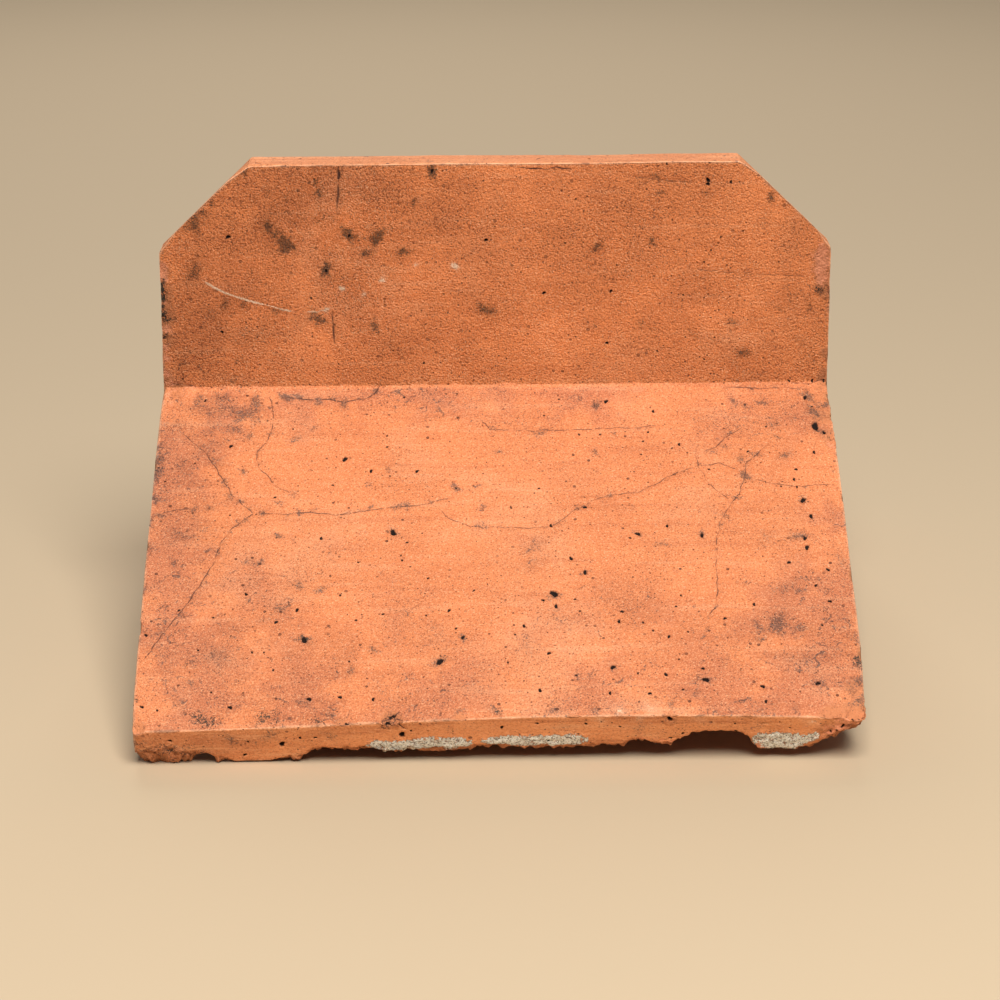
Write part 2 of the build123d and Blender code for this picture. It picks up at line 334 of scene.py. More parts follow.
faceMarks = {
    "pits": (
        (670, 720, 1.5), (537, 724, 0.8), (586, 724, 0.8), (207, 757, 1.8),
        (388, 724, 1.3), (396, 721, 1.2), (402, 735, 1.7), (411, 731, 0.7), (300, 738, 0.8),
        (248, 742, 0.7), (620, 727, 0.7), (735, 724, 0.7), (170, 741, 0.9), (831, 733, 0.7),
        (837, 731, 0.8), (843, 728, 0.9), (849, 726, 0.7), (736, 732, 0.8), (790, 728, 0.6),
    ),
    "stains": (
        (391, 722, 3.4, 0.8), (378, 747, 3.0, 0.5), (398, 749, 3.0, 0.6), (418, 747, 3.0, 0.5),
        (440, 745, 3.0, 0.4), (270, 735, 4.0, 0.6), (230, 740, 4.0, 0.6), (330, 736, 4.0, 0.6),
        (450, 730, 4.0, 0.4), (560, 728, 4.0, 0.4), (640, 728, 4.0, 0.5), (760, 726, 4.0, 0.4),
    ),
    "soot": (
        (150, 752, 3.4, 0.4), (170, 756, 3.4, 0.5), (188, 757, 3.0, 0.45), (140, 744, 3.0, 0.3),
        (205, 757, 3.0, 0.7), (160, 745, 3.6, 0.25), (190, 747, 3.6, 0.3), (385, 727, 1.8, 0.5),
        (397, 720, 1.8, 0.5),
    ),
    "mortar": (        # for each patch, its top and its bottom at pixels along it
        ((366, 742, 748), (376, 739, 751), (392, 740, 754), (412, 740, 754), (419, 737, 753),
         (432, 736, 749), (452, 736, 752), (466, 738, 748), (474, 740, 744)),
        ((481, 738, 742), (492, 737, 745), (505, 735, 746), (530, 735, 746), (560, 734, 746),
         (580, 734, 745), (589, 737, 741)),
        ((752, 737, 743), (758, 732, 748), (772, 732, 752), (792, 732, 751), (804, 734, 744),
         (812, 731, 741), (820, 733, 737)),
    ),
    "raw": (
        (846, 724, 4.0, 0.8), (836, 730, 4.0, 0.8), (640, 742, 3.0, 0.5), (758, 748, 2.4, 0.8),
        (668, 742, 2.4, 0.6),
    ),
    "pale": (
        (600, 720, 3.0, 0.5), (640, 718, 3.0, 0.5), (700, 720, 3.0, 0.4), (812, 722, 3.0, 0.5),
    ),
    "grime": (
        (145, 745, 22, 0.9), (190, 745, 18, 0.7), (240, 742, 18, 0.5), (300, 738, 14, 0.3),
    ),
    "cracks": (
        (1.80, (378, 729), (383, 725), (388, 722)),
        (1.80, (398, 722), (402, 726), (407, 729)),
        (0.60, (536, 722), (542, 723), (549, 723)),
        (0.60, (755, 723), (768, 724), (784, 723)),
        (0.50, (660, 741), (672, 738), (684, 737)),
    ),
}
# The broken lower edge of the front face, from left to right: where its sound face ends, and
# the lowest line of the break
brokenFoot = {
    "soundEdge": (
        (133, 750), (150, 751), (172, 750), (190, 751), (198, 752), (217, 757), (240, 761),
        (259, 761), (279, 758), (299, 756), (319, 747), (342, 748), (370, 747), (401, 749),
        (452, 747), (500, 744), (526, 746), (582, 745), (623, 743), (633, 738), (652, 740),
        (671, 743), (676, 738), (689, 735), (704, 731), (713, 730), (726, 730), (737, 732),
        (744, 733), (748, 738), (754, 743), (758, 749),
        (786, 750), (796, 747), (814, 744), (824, 738), (838, 732), (849, 728), (861, 724),
        (866, 719),
    ),
    "lowestEdge": (
        (133, 752), (136, 756), (147, 763), (165, 765), (190, 764), (198, 755), (207, 752),
        (217, 761), (259, 763), (279, 759), (299, 757), (319, 748), (342, 749), (370, 748),
        (401, 751), (452, 750), (500, 745), (526, 748), (582, 747), (623, 744), (633, 739),
        (652, 741), (671, 745), (674, 740), (689, 737), (704, 733), (713, 731), (726, 732),
        (737, 733), (746, 736), (751, 742), (758, 751), (786, 752), (796, 748), (814, 745),
        (824, 741), (838, 738), (849, 733), (861, 731), (866, 722),
    ),
    "bite": ((674, 735), (758, 735)),       # pixels between which the break goes right through
    "biteReach": 15 * mm,           # how far it goes in under the wing there
    "underShare": 0.94,             # how far in it goes elsewhere, as a share of its height
    "hollow": 0.12,                 # how hollow it is, as a share of its smaller side
    "reach": (30 * mm, 40 * mm),    # how far up the face and in under the wing it may reach at all
    "roughness": 1.5 * mm,
}
# Crumbled places: the face and pixel, reach and roughness in millimetres, and how dark the holes are with
# dirt and painted shade
crumbles = (
    ("wing", (856, 714), 9, 1.5, 0.2),
    ("face", (850, 726), 9, 1.8, 0.35),
    ("face", (828, 731), 6, 1.2, 0.3),
    ("wing", (391, 720), 4.5, 1.8, 0.6),
    ("wing", (829, 398), 5, 0.8, 0.2),
    ("wing", (825, 416), 6, 1.0, 0.2),
    ("wing", (833, 436), 6, 1.0, 0.2),
    ("wing", (858, 690), 6, 0.7, 0.2),
    ("crest", (163, 290), 5, 0.7, 0.2),
    ("crest", (164, 316), 6, 0.8, 0.2),
    ("crest", (166, 340), 5, 0.7, 0.2),
    ("crest", (824, 268), 6, 0.8, 0.2),
    ("crest", (824, 286), 5, 0.7, 0.3),
    ("wing", (175, 390), 6, 0.5, 0.2),
    ("wing", (134, 738), 6, 0.8, 0.2),
    ("face", (205, 755), 4, 1.0, 0.4),
    ("face", (670, 721), 3, 0.8, 0.3),
)
# Shell-shaped chips out of edges: the face and pixel, length, depth, and how rough, in millimetres
chips = (
    ("crest", (830, 258), 15, 1.6, 0.30),
    ("crest", (829, 277), 12, 1.8, 0.30),
    ("crest", (828, 291), 8, 1.2, 0.25),
    ("crest", (161, 272), 9, 1.5, 0.25),
    ("crest", (162, 300), 11, 1.1, 0.25),
    ("crest", (163, 322), 8, 1.4, 0.25),
    ("crest", (164, 342), 7, 1.0, 0.20),
    ("crest", (165, 378), 8, 1.2, 0.25),
    ("crest", (826, 352), 6, 0.8, 0.20),
    ("crest", (826, 376), 8, 1.0, 0.20),
    ("wing", (829, 396), 10, 1.1, 0.25),
    ("wing", (832, 416), 7, 0.9, 0.20),
    ("wing", (834, 443), 7, 2.0, 0.25),
    ("wing", (843, 498), 6, 0.7, 0.20),
    ("wing", (853, 575), 7, 0.8, 0.20),
    ("wing", (862, 655), 9, 1.0, 0.25),
    ("wing", (154, 465), 6, 0.8, 0.20),
    ("wing", (146, 545), 6, 0.8, 0.20),
    ("wing", (139, 628), 9, 1.0, 0.25),
    ("wing", (133, 731), 8, 1.7, 0.30),
    ("wing", (391, 720), 11, 2.0, 0.40),
    ("wing", (341, 724), 6, 0.8, 0.20),
    ("wing", (460, 719), 6, 0.6, 0.20),
    ("wing", (573, 716), 7, 0.7, 0.20),
    ("wing", (670, 715), 7, 1.0, 0.25),
    ("wing", (748, 716), 6, 0.6, 0.20),
    ("wing", (832, 716), 12, 1.0, 0.30),
    ("wing", (858, 716), 12, 2.0, 0.40),
)


def smudgesAlong(cracks):
    # Small stains strung along drawn cracks, where damp has drawn dirt in
    spots = []
    for strength, *line in cracks:
        line = np.array(line, float)
        lengths = np.concatenate(([0], np.cumsum(np.linalg.norm(np.diff(line, axis=0), axis=1))))
        for walked in np.arange(dice.uniform(4, 12), lengths[-1], 12.0):
            x, y = (np.interp(walked, lengths, line[:, i]) + dice.uniform(-2.5, 2.5) for i in (0, 1))
            spots.append((x, y, dice.uniform(1.2, 3.0), strength * dice.uniform(0.1, 0.9)))
    return tuple(spots)


wingMarks["stains"] += smudgesAlong(wingMarks["cracks"])


def settling(points):
    # How far each point of the true shape has moved in drying and firing
    x = points[:, 0] / endX
    across = np.abs(points[:, 1]) - halfCrest
    down = np.clip((across * slopeCos + (foldZ - points[:, 2]) * slopeSin) / tile["wingWidth"], 0, 1)
    places = np.linspace(-1, 1, len(warp["arrisLift"]))
    curve = np.polyfit(places, warp["arrisLift"], len(places) - 1)
    lift = np.polyval(curve, x) * down * (points[:, 1] < 0)
    rise = warp["ridgeRise"] * (x + 1) / 2 * (1 - down)
    bow = warp["sideBow"] * 4 * down * (1 - down) * x
    past, over = np.abs(points[:, 0]) - topX, points[:, 2] - topZ
    share = np.clip(past / tile["clipWidth"], 0, 1)
    skew = np.clip(6 * share * (1 - share), 0, 1) * easeIn(-8 * mm, 0, past * clipRise + over * clipRun)
    skew *= warp["clipSkew"] * np.clip(0.5 - points[:, 1] / (2 * halfCrest), 0, 1)
    bow += skew * clipRise * np.sign(x)
    return np.column_stack((bow, 0 * x, lift + rise + skew * clipRun))


def ripple(points, size, seed):
    # Smooth noise from about -1 to 1, with swells of this size in metres
    shift = Vector((17.3, 5.1, 9.7)) * seed
    return np.array([noise.noise(Vector(point) / size + shift) for point in points.tolist()])


def lumpy(points, coarse, fine, seed, share=0.6):
    # Swells of two sizes in millimetres, the finer ones lower
    return ripple(points, coarse * mm, seed) + share * ripple(points, fine * mm, seed + 1)


def easeIn(low, high, values):
    t = np.clip((values - low) / (high - low), 0, 1)
    return t * t * (3 - 2 * t)


def addObject(name, data):
    thing = bpy.data.objects.new(name, data)
    bpy.context.scene.collection.objects.link(thing)
    return thing


# The skin as sheets, each straight along one way and bent across it

spacing = {
    "seen": 1.3 * mm,                       # along edges and folds
    "hidden": 2.6 * mm,
    "besideEdges": (0.5 * mm, 1.1 * mm, 1.9 * mm),
    "acrossFolds": (-1.1, -0.75, -0.38, 0, 0.38, 0.75, 1.1),        # in shares of the fold's reach
    "alongCracks": 0.7 * mm,
    "betweenStrayPits": 5 * mm,
    "clearOfBorder": 0.3 * mm,
    "clearOfCracks": 0.35 * mm,
    "roundDots": 0.25 * mm,
    "roundGrid": 0.55,                      # in shares of the grid's step
}


def makeSheet(along, bends, outline, **choices):
    # bends are the corners that the sheet passes, outline its border as (along, across) corners
    bends = np.array(bends, float)
    steps = np.diff(bends, axis=0)
    lengths = np.linalg.norm(steps, axis=1)
    ways = steps / lengths[:, None]
    sheet = {
        "along": np.array(along, float),
        "bends": bends,
        "ways": ways,
        "normals": np.cross(np.array(along, float), ways),
        "starts": np.concatenate(([0], np.cumsum(lengths))),
        "outline": np.array(outline, float),
        "folds": {},
        "edgeTurns": {},
        "marks": (),
        "rowStep": spacing["seen"],
        "strayPits": 0,
        "grime": 0.0,
    }
    sheet.update(choices)
    return sheet


def partOf(sheet, across):
    return np.clip(np.searchsorted(sheet["starts"], across, side="right") - 1, 0, len(sheet["ways"]) - 1)


def layOut(sheet, places):
    # Places on a sheet to points in space
    part = partOf(sheet, places[:, 1])
    past = places[:, 1] - sheet["starts"][part]
    return sheet["bends"][part] + past[:, None] * sheet["ways"][part] + places[:, :1] * sheet["along"]


def fromPhoto(face, pixels):
    # Pixels of the photograph to places on one part of a sheet, with the tile's warp taken off
    sheet, part = face
    pixels = np.array(pixels, float).reshape(-1, 2)
    focal = shot["lens"] / shot["sensor"] * shot["frame"]
    turn = np.array(aim)
    sight = (
        -turn[:, 2]
        + np.outer((pixels[:, 0] - shot["frame"] / 2) / focal, turn[:, 0])
        - np.outer((pixels[:, 1] - shot["frame"] / 2) / focal, turn[:, 1])
    )
    eye = np.array(shot["eye"])
    normal, corner = sheet["normals"][part], sheet["bends"][part]
    moved = np.zeros((len(pixels), 3))
    for _ in range(4):
        reach = (corner + moved - eye) @ normal / (sight @ normal)
        points = eye + reach[:, None] * sight - moved
        moved = settling(points)
    offset = points - corner
    return np.column_stack((offset @ sheet["along"], offset @ sheet["ways"][part] + sheet["starts"][part]))


crestSide = tile["crestHeight"] - tile["clipHeight"]
frontLength = tile["wingWidth"] + tile["crestHeight"]
underLength = math.hypot(innerY, apexZ - innerZ)
clipLength = math.hypot(tile["clipWidth"], tile["clipHeight"])
capLength = 2 * clipLength + 2 * topX
squareTurn = math.pi / 2
foldTurn = squareTurn - tile["slope"]

frontOutline = (
    (-endX, 0), (endX, 0), (endX, tile["wingWidth"]), (endX, tile["wingWidth"] + crestSide),
    (topX, frontLength), (-topX, frontLength), (-endX, tile["wingWidth"] + crestSide),
    (-endX, tile["wingWidth"]),
)
footOutline = ((-endX, 0), (endX, 0), (endX, tile["wingThickness"]), (-endX, tile["wingThickness"]))
endOutline = (
    (-innerY, innerZ), (0, apexZ), (innerY, innerZ), (outerY, outerZ), (halfCrest, foldZ),
    (halfCrest, shoulderZ), (-halfCrest, shoulderZ), (-halfCrest, foldZ), (-outerY, outerZ),
)
front = makeSheet(
    (1, 0, 0),
    ((0, -outerY, outerZ), (0, -halfCrest, foldZ), (0, -halfCrest, topZ)),
    frontOutline,
    grid=1.7 * mm,
    folds={tile["wingWidth"]: (-foldTurn, tile["foldRadius"])},
    marks=(("wing", wingMarks), ("crest", crestMarks)),
)
back = makeSheet(
    (1, 0, 0),
    ((0, halfCrest, topZ), (0, halfCrest, foldZ), (0, outerY, outerZ)),
    [(along, frontLength - across) for along, across in frontOutline],
    grid=3.4 * mm,
    rowStep=spacing["hidden"],
    folds={tile["crestHeight"]: (-foldTurn, tile["foldRadius"])},
    strayPits=110,
    grime=0.4,
)
foot = makeSheet(
    (1, 0, 0),
    ((0, -innerY, innerZ), (0, -outerY, outerZ)),
    footOutline,
    grid=1.05 * mm,
    marks=(("face", faceMarks),),
    strayPits=26,
)
backFoot = makeSheet(
    (1, 0, 0),
    ((0, outerY, outerZ), (0, innerY, innerZ)),
    footOutline,
    grid=2.4 * mm,
    rowStep=spacing["hidden"],
    grime=0.4,
)
underside = makeSheet(
    (1, 0, 0),
    ((0, innerY, innerZ), (0, 0, apexZ), (0, -innerY, innerZ)),
    (
        (-endX, 0), (endX, 0), (endX, underLength), (endX, 2 * underLength),
        (-endX, 2 * underLength), (-endX, underLength),
    ),
    grid=5.0 * mm,
    fineFrom=2 * underLength - 28 * mm,     # finer where the broken foot reaches in
    fineGrid=1.4 * mm,
    rowStep=spacing["hidden"],
    folds={underLength: (-2 * tile["slope"], tile["apexRadius"])},
    strayPits=50,
    # The high grime level here is painted shade: it darkens the hidden underside so the hollow under the
    # tile looks dark.
    grime=1.3,
)
cap = makeSheet(
    (0, 1, 0),
    ((endX, 0, shoulderZ), (topX, 0, topZ), (-topX, 0, topZ), (-endX, 0, shoulderZ)),
    (
        (-halfCrest, 0), (halfCrest, 0), (halfCrest, clipLength), (halfCrest, capLength - clipLength),
        (halfCrest, capLength), (-halfCrest, capLength), (-halfCrest, capLength - clipLength),
        (-halfCrest, clipLength),
    ),
    grid=1.4 * mm,
    folds={clipLength: (clipTurn, 2 * mm), capLength - clipLength: (clipTurn, 2 * mm)},
    edgeTurns={0: squareTurn - clipTurn, 4: squareTurn - clipTurn},
    strayPits=24,
    grime=0.8,
)
rightEnd, leftEnd = (
    makeSheet(
        (0, side, 0),
        ((side * endX, 0, 0), (side * endX, 0, topZ)),
        endOutline,
        grid=2.0 * mm,
        edgeTurns={5: squareTurn - clipTurn},
        strayPits=30,
        grime=0.4,
    )
    for side in (1, -1)
)
sheets = (front, back, foot, backFoot, underside, cap, rightEnd, leftEnd)
faces = {"wing": (front, 0), "crest": (front, 1), "face": (foot, 0)}
print("sheets laid out:", len(sheets))


# Points over each sheet: its border, rows beside its edges, cracks, pits and a loose grid

def depthInside(sheet, places):
    # How far inside the outline each place is, below zero outside it
    outline = sheet["outline"]
    inside = np.zeros(len(places), bool)
    nearest = np.full(len(places), 1e9)
    for corner, nextCorner in zip(outline, np.roll(outline, -1, axis=0)):
        side = nextCorner - corner
        offset = places - corner
        part = np.clip(offset @ side / (side @ side), 0, 1)
        nearest = np.minimum(nearest, np.linalg.norm(offset - part[:, None] * side, axis=1))
        if side[1]:
            crosses = (corner[1] > places[:, 1]) != (nextCorner[1] > places[:, 1])
            inside ^= crosses & (places[:, 0] < corner[0] + offset[:, 1] * side[0] / side[1])
    return np.where(inside, nearest, -nearest)


def borderOf(sheet):
    # Places along the outline, and the same points in space, which the next sheet has too
    places, points = [], []
    outline = sheet["outline"]
    corners = np.round(layOut(sheet, outline), 7)
    for i in range(len(outline)):
        j = (i + 1) % len(outline)
        start, end = corners[i], corners[j]
        hidden = (start[1] + end[1]) / 2 > halfCrest * 1.01
        count = math.ceil(np.linalg.norm(end - start) / spacing["hidden" if hidden else "seen"])
        part = np.arange(count + 1)[:, None] / count
        if tuple(start) < tuple(end):
            line = start + (end - start) * part
        else:
            line = (end + (start - end) * part)[::-1]
        places.append((outline[i] + (outline[j] - outline[i]) * part)[:-1])
        points.append(line[:-1])
    return np.vstack(places), np.vstack(points)


def rowsBeside(sheet):
    # Rows of points just inside each edge and on each side of each fold, to round them with
    step, rows = sheet["rowStep"], []
    outline = sheet["outline"]
    for corner, nextCorner in zip(outline, np.roll(outline, -1, axis=0)):
        side = nextCorner - corner
        length = np.linalg.norm(side)
        inward = np.array((-side[1], side[0])) / length
        if depthInside(sheet, ((corner + nextCorner) / 2 + inward * mm)[None])[0] < 0:
            inward = -inward
        part = np.arange(0.5, length / step)[:, None] * step / length
        for inset in spacing["besideEdges"]:
            row = corner + side * part + inward * inset
            rows.append(row[depthInside(sheet, row) > 0.95 * inset])
    for fold, (turn, radius) in sheet["folds"].items():
        reach = radius * math.tan(abs(turn) / 2)
        low, high = outline[:, 0].min(), outline[:, 0].max()
        places = np.arange(low + step / 2, high, max(step, reach / 2.5))
        for share in spacing["acrossFolds"]:
            row = np.column_stack((places, np.full(len(places), fold + share * reach)))
            rows.append(row[depthInside(sheet, row) > 0.4 * mm])
    return np.vstack(rows)


def clearOf(places, others, gap):
    # The places that keep this gap from the others
    tree = kdtree.KDTree(len(others))
    for i, (along, across) in enumerate(others.tolist()):
        tree.insert((along, across, 0), i)
    tree.balance()
    return np.array([tree.find((*place, 0))[2] > gap for place in places.tolist()], bool)


def gridOver(sheet):
    loose = np.random.default_rng(4)
    low, high = sheet["outline"].min(axis=0), sheet["outline"].max(axis=0)
    zones = [(low[1], high[1], sheet["grid"])]
    if "fineGrid" in sheet:
        zones = [
            (low[1], sheet["fineFrom"], sheet["grid"]),
            (sheet["fineFrom"], high[1], sheet["fineGrid"]),
        ]
    grids = []
    for start, end, step in zones:
        along = np.arange(low[0], high[0], step)
        across = np.arange(start + step / 2, end, step * 0.9)
        grid = np.stack(np.meshgrid(along, across), axis=-1)
        grid[::2, :, 0] += step / 2
        grid = grid.reshape(-1, 2) + loose.uniform(-0.24, 0.24, (len(along) * len(across), 2)) * step
        inside = depthInside(sheet, grid) > 0.6 * step
        grids.append((grid[inside], step))
    return grids


def walkAlong(line, step, wander, seed):
    # Even steps along a drawn line, which strays a little to both sides of it
    line = np.array(line, float)
    lengths = np.concatenate(([0], np.cumsum(np.linalg.norm(np.diff(line, axis=0), axis=1))))
    walked = np.arange(0, lengths[-1], step)
    path = np.column_stack([np.interp(walked, lengths, line[:, i]) for i in (0, 1)])
    way = np.gradient(path, axis=0)
    way /= np.linalg.norm(way, axis=1)[:, None]
    aside = np.column_stack((-way[:, 1], way[:, 0]))
    flat = np.column_stack((path, 0 * walked))
    stray = 0.7 * ripple(flat, 5 * mm, seed) + 0.3 * ripple(flat, 1.3 * mm, seed + 1)
    fade = np.clip(np.minimum(walked, lengths[-1] - walked) / (3 * mm), 0.5, 1)
    fade *= np.clip(0.9 + ripple(flat, 4 * mm, seed + 2), 0.45, 1.2)
    return path + aside * (stray * wander)[:, None], aside, fade


# Half width, depth and wandering of a full-strength line in millimetres, and how dark and pale it is
lineKinds = {
    "cracks": (0.42, 0.35, 1.1, 1.0, 0.0),
    "grooves": (0.80, 0.95, 0.3, 0.75, 0.0),
    "scratches": (0.60, 0.0, 0.4, 0.0, 1.0),
}


def crackPoints(sheet):
    # Three rows of points along each crack, groove and scratch, the middle one sunk and marked
    places, darkness, paleness, sink = ([np.empty((0, 2))], *([np.empty(0)] for _ in range(3)))
    seed = 1
    for name, marks in sheet["marks"]:
        for kind, (half, depth, wander, dark, pale) in lineKinds.items():
            for strength, *line in marks.get(kind, ()):
                seed += 2
                drawn = fromPhoto(faces[name], line)
                path, aside, fade = walkAlong(drawn, spacing["alongCracks"], wander * mm, seed)
                fade = fade * strength
                width = half * mm * (0.6 + 0.4 * fade)[:, None]
                for offset, share in ((0, 1), (1, 0), (-1, 0)):
                    places.append(path + aside * width * offset)
                    darkness.append(fade * share * dark)
                    paleness.append(fade * share * pale)
                    sink.append(fade * depth * mm * share)
    return np.vstack(places), *(np.concatenate(values) for values in (darkness, paleness, sink))


pitShape = {
    "depth": (0.9, 1.3),            # in shares of the radius
    "wingStretch": 1.25,            # pits of the wing are drawn out down its slope
    "strayRadius": (0.5, 0.8),      # mm
    "rareExtra": 0.9,               # added to the radius of a few stray ones, mm
    "strayInset": 3,                # the least gap of a stray one from the sheet's border, mm
    "wall": (0.45, 1.10),           # where the wall begins and ends, in shares of the rim's radius
    "darkWall": (0.60, 1.10),       # and where its dirt and painted shade do
}


def findPits(sheet):
    # Every pit of a sheet: place, radius, depth, the turn of its uneven rim and how much it is drawn out
    pits = []
    for name, marks in sheet["marks"]:
        for place, (_, _, radius) in zip(
            fromPhoto(faces[name], [pit[:2] for pit in marks["pits"]]), marks["pits"]
        ):
            depth = radius * dice.uniform(*pitShape["depth"])
            drawnOut = pitShape["wingStretch"] if name == "wing" else 1.0
            pits.append((place, radius * mm, depth * mm, dice.uniform(0, 6.28), drawnOut))
    low, high = sheet["outline"].min(axis=0), sheet["outline"].max(axis=0)
    for _ in range(sheet["strayPits"]):
        place = np.array((dice.uniform(low[0], high[0]), dice.uniform(low[1], high[1])))
        radius = dice.uniform(*pitShape["strayRadius"]) + pitShape["rareExtra"] * dice.random() ** 6
        apart = all(np.linalg.norm(place - pit[0]) > spacing["betweenStrayPits"] for pit in pits)
        if apart and depthInside(sheet, place[None])[0] > pitShape["strayInset"] * mm:
            pits.append((place, radius * mm, radius * mm, dice.uniform(0, 6.28), 1.0))
    return pits


def rimOf(radius, turn, angle):
    return radius * (1 + 0.26 * np.sin(2 * angle + turn) + 0.14 * np.sin(3 * angle + 2.3 * turn))


def pitPoints(sheet, pits):
    # Rings of points round each pit, and looser ones round each small stain
    places = [np.empty((0, 2))]
    for name, marks in sheet["marks"]:
        small = [spot for spot in (*marks["stains"], *marks["soot"]) if spot[2] < 4 and spot[3] > 0.6]
        for place, (_, _, radius, _) in zip(fromPhoto(faces[name], [s[:2] for s in small]), small):
            for share, count in ((0.0, 1), (0.45, 6), (0.9, 10), (1.4, 10)):
                angle = np.arange(count) * 2 * math.pi / count + share
                ring = np.column_stack((np.cos(angle), np.sin(angle)))
                places.append(place + ring * share * radius * mm)
    for place, radius, _, turn, drawnOut in pits:
        places.append(place[None])
        for share, count in ((0.5, 6), (0.95, 9), (1.35, 10)):
            if radius < 0.75 * mm and share == 0.5:
                continue
            angle = np.arange(count) * 2 * math.pi / count + turn + share
            rim = rimOf(radius, turn, angle)[:, None] * share
            places.append(place + rim * np.column_stack((np.cos(angle), drawnOut * np.sin(angle))))
    return np.vstack(places)


def stamp(sheet, places, kind):
    # The strength of soft round marks of one kind at each place
    strength = np.zeros(len(places))
    for name, marks in sheet["marks"]:
        own = partOf(sheet, places[:, 1]) == faces[name][1]
        spots = marks.get(kind, ())
        for place, (x, y, radius, amount) in zip(fromPhoto(faces[name], [s[:2] for s in spots]), spots):
            offset = places - place
            angle = np.arctan2(offset[:, 1], offset[:, 0])
            arms = 1.15 + 0.35 * np.sin(2 * angle + x) + 0.3 * np.sin(5 * angle + y)
            gap = np.hypot(offset[:, 0], offset[:, 1]) / (radius * mm * arms)
            strength = np.maximum(strength, own * amount * np.exp(-gap * gap))
    return strength


def mortarCover(sheet, places):
    # How thickly old mortar covers each place of the lower face
    cover = np.zeros(len(places))
    for name, marks in sheet["marks"]:
        for patch in marks.get("mortar", ()):
            top = fromPhoto(faces[name], [(x, high) for x, high, _ in patch])
            bottom = fromPhoto(faces[name], [(x, low) for x, _, low in patch])
            upper = np.interp(places[:, 0], top[:, 0], top[:, 1], -1, -1)
            lower = np.interp(places[:, 0], bottom[:, 0], bottom[:, 1], 1, 1)
            inside = np.minimum(upper - places[:, 1], places[:, 1] - lower)
            cover = np.maximum(cover, easeIn(-1.8 * mm, 1.8 * mm, inside))
    return cover


def spotOn(name, pixel):
    # A pixel of the photograph to a point on this face of the true shape
    return layOut(faces[name][0], fromPhoto(faces[name], pixel))[0]


wornPlaces = [
    (spotOn(name, pixel), extra * mm, reach * mm) for name, pixel, extra, reach in wear["moreWorn"]
]


def edgeRadius(points):
    # How rounded an edge is at these points on it
    uneven = 0.6 + 1.1 * np.abs(ripple(points, 16 * mm, 3)) + 0.4 * ripple(points, 4 * mm, 4)
    radius = wear["edgeRounding"] * mm * np.clip(uneven, 0.35, 2)
    for centre, extra, reach in wornPlaces:
        gap = np.linalg.norm(points - centre, axis=1) / reach
        radius += extra * np.exp(-gap * gap)
    return radius


def roundEdge(normals, gap, toEdge, turn, radius):
    # Moves of points beside an edge onto its rounding. A turn below zero is a hollow.
    reach = radius * math.tan(abs(turn) / 2)
    angle = abs(turn) / 2 * np.clip(1 - gap / reach, 0, 1)
    forward = np.where(gap < reach, radius * np.sin(angle) - (reach - gap), 0)
    inward = np.where(gap < reach, radius * (1 - np.cos(angle)), 0)
    return toEdge * forward[:, None] - normals * (inward * np.sign(turn))[:, None]


def spaceWay(sheet, places, flatWay):
    part = partOf(sheet, places[:, 1])
    return flatWay[0] * sheet["along"] + flatWay[1] * sheet["ways"][part]


def placesOver(sheet):
    # All places of a sheet, its border first. With them come the border's points in space, the
    # range of the crack places, their darkness, paleness and sink, and the pits.
    border, borderPoints = borderOf(sheet)
    rows = rowsBeside(sheet)
    rows = rows[clearOf(rows, border, spacing["clearOfBorder"])]
    cracks, *crackMarks = crackPoints(sheet)
    keep = depthInside(sheet, cracks) > spacing["clearOfBorder"]
    cracks, *crackMarks = (values[keep] for values in (cracks, *crackMarks))
    rows = rows[clearOf(rows, cracks, spacing["clearOfCracks"])] if len(cracks) else rows
    pits = findPits(sheet)
    dots = pitPoints(sheet, pits)
    dots = dots[depthInside(sheet, dots) > spacing["roundDots"]]
    places = np.vstack((border, rows, cracks))
    onCracks = slice(len(places) - len(cracks), len(places))
    dots = dots[clearOf(dots, places, spacing["roundDots"])] if len(dots) else dots
    places = np.vstack((places, dots))
    for grid, step in gridOver(sheet):
        places = np.vstack((places, grid[clearOf(grid, places, spacing["roundGrid"] * step)]))
    return places, borderPoints, onCracks, crackMarks, pits


def normalsOver(sheet, places):
    # The way each place faces, which turns smoothly over the folds
    normals = sheet["normals"][partOf(sheet, places[:, 1])]
    for fold, (turn, radius) in sheet["folds"].items():
        reach = radius * math.tan(abs(turn) / 2)
        share = easeIn(-reach, reach, places[:, 1] - fold)[:, None]
        before, after = (sheet["normals"][partOf(sheet, fold + aside)] for aside in (-mm, mm))
        near = np.abs(places[:, 1] - fold) < reach
        normals[near] = (before * (1 - share) + after * share)[near]
    return normals


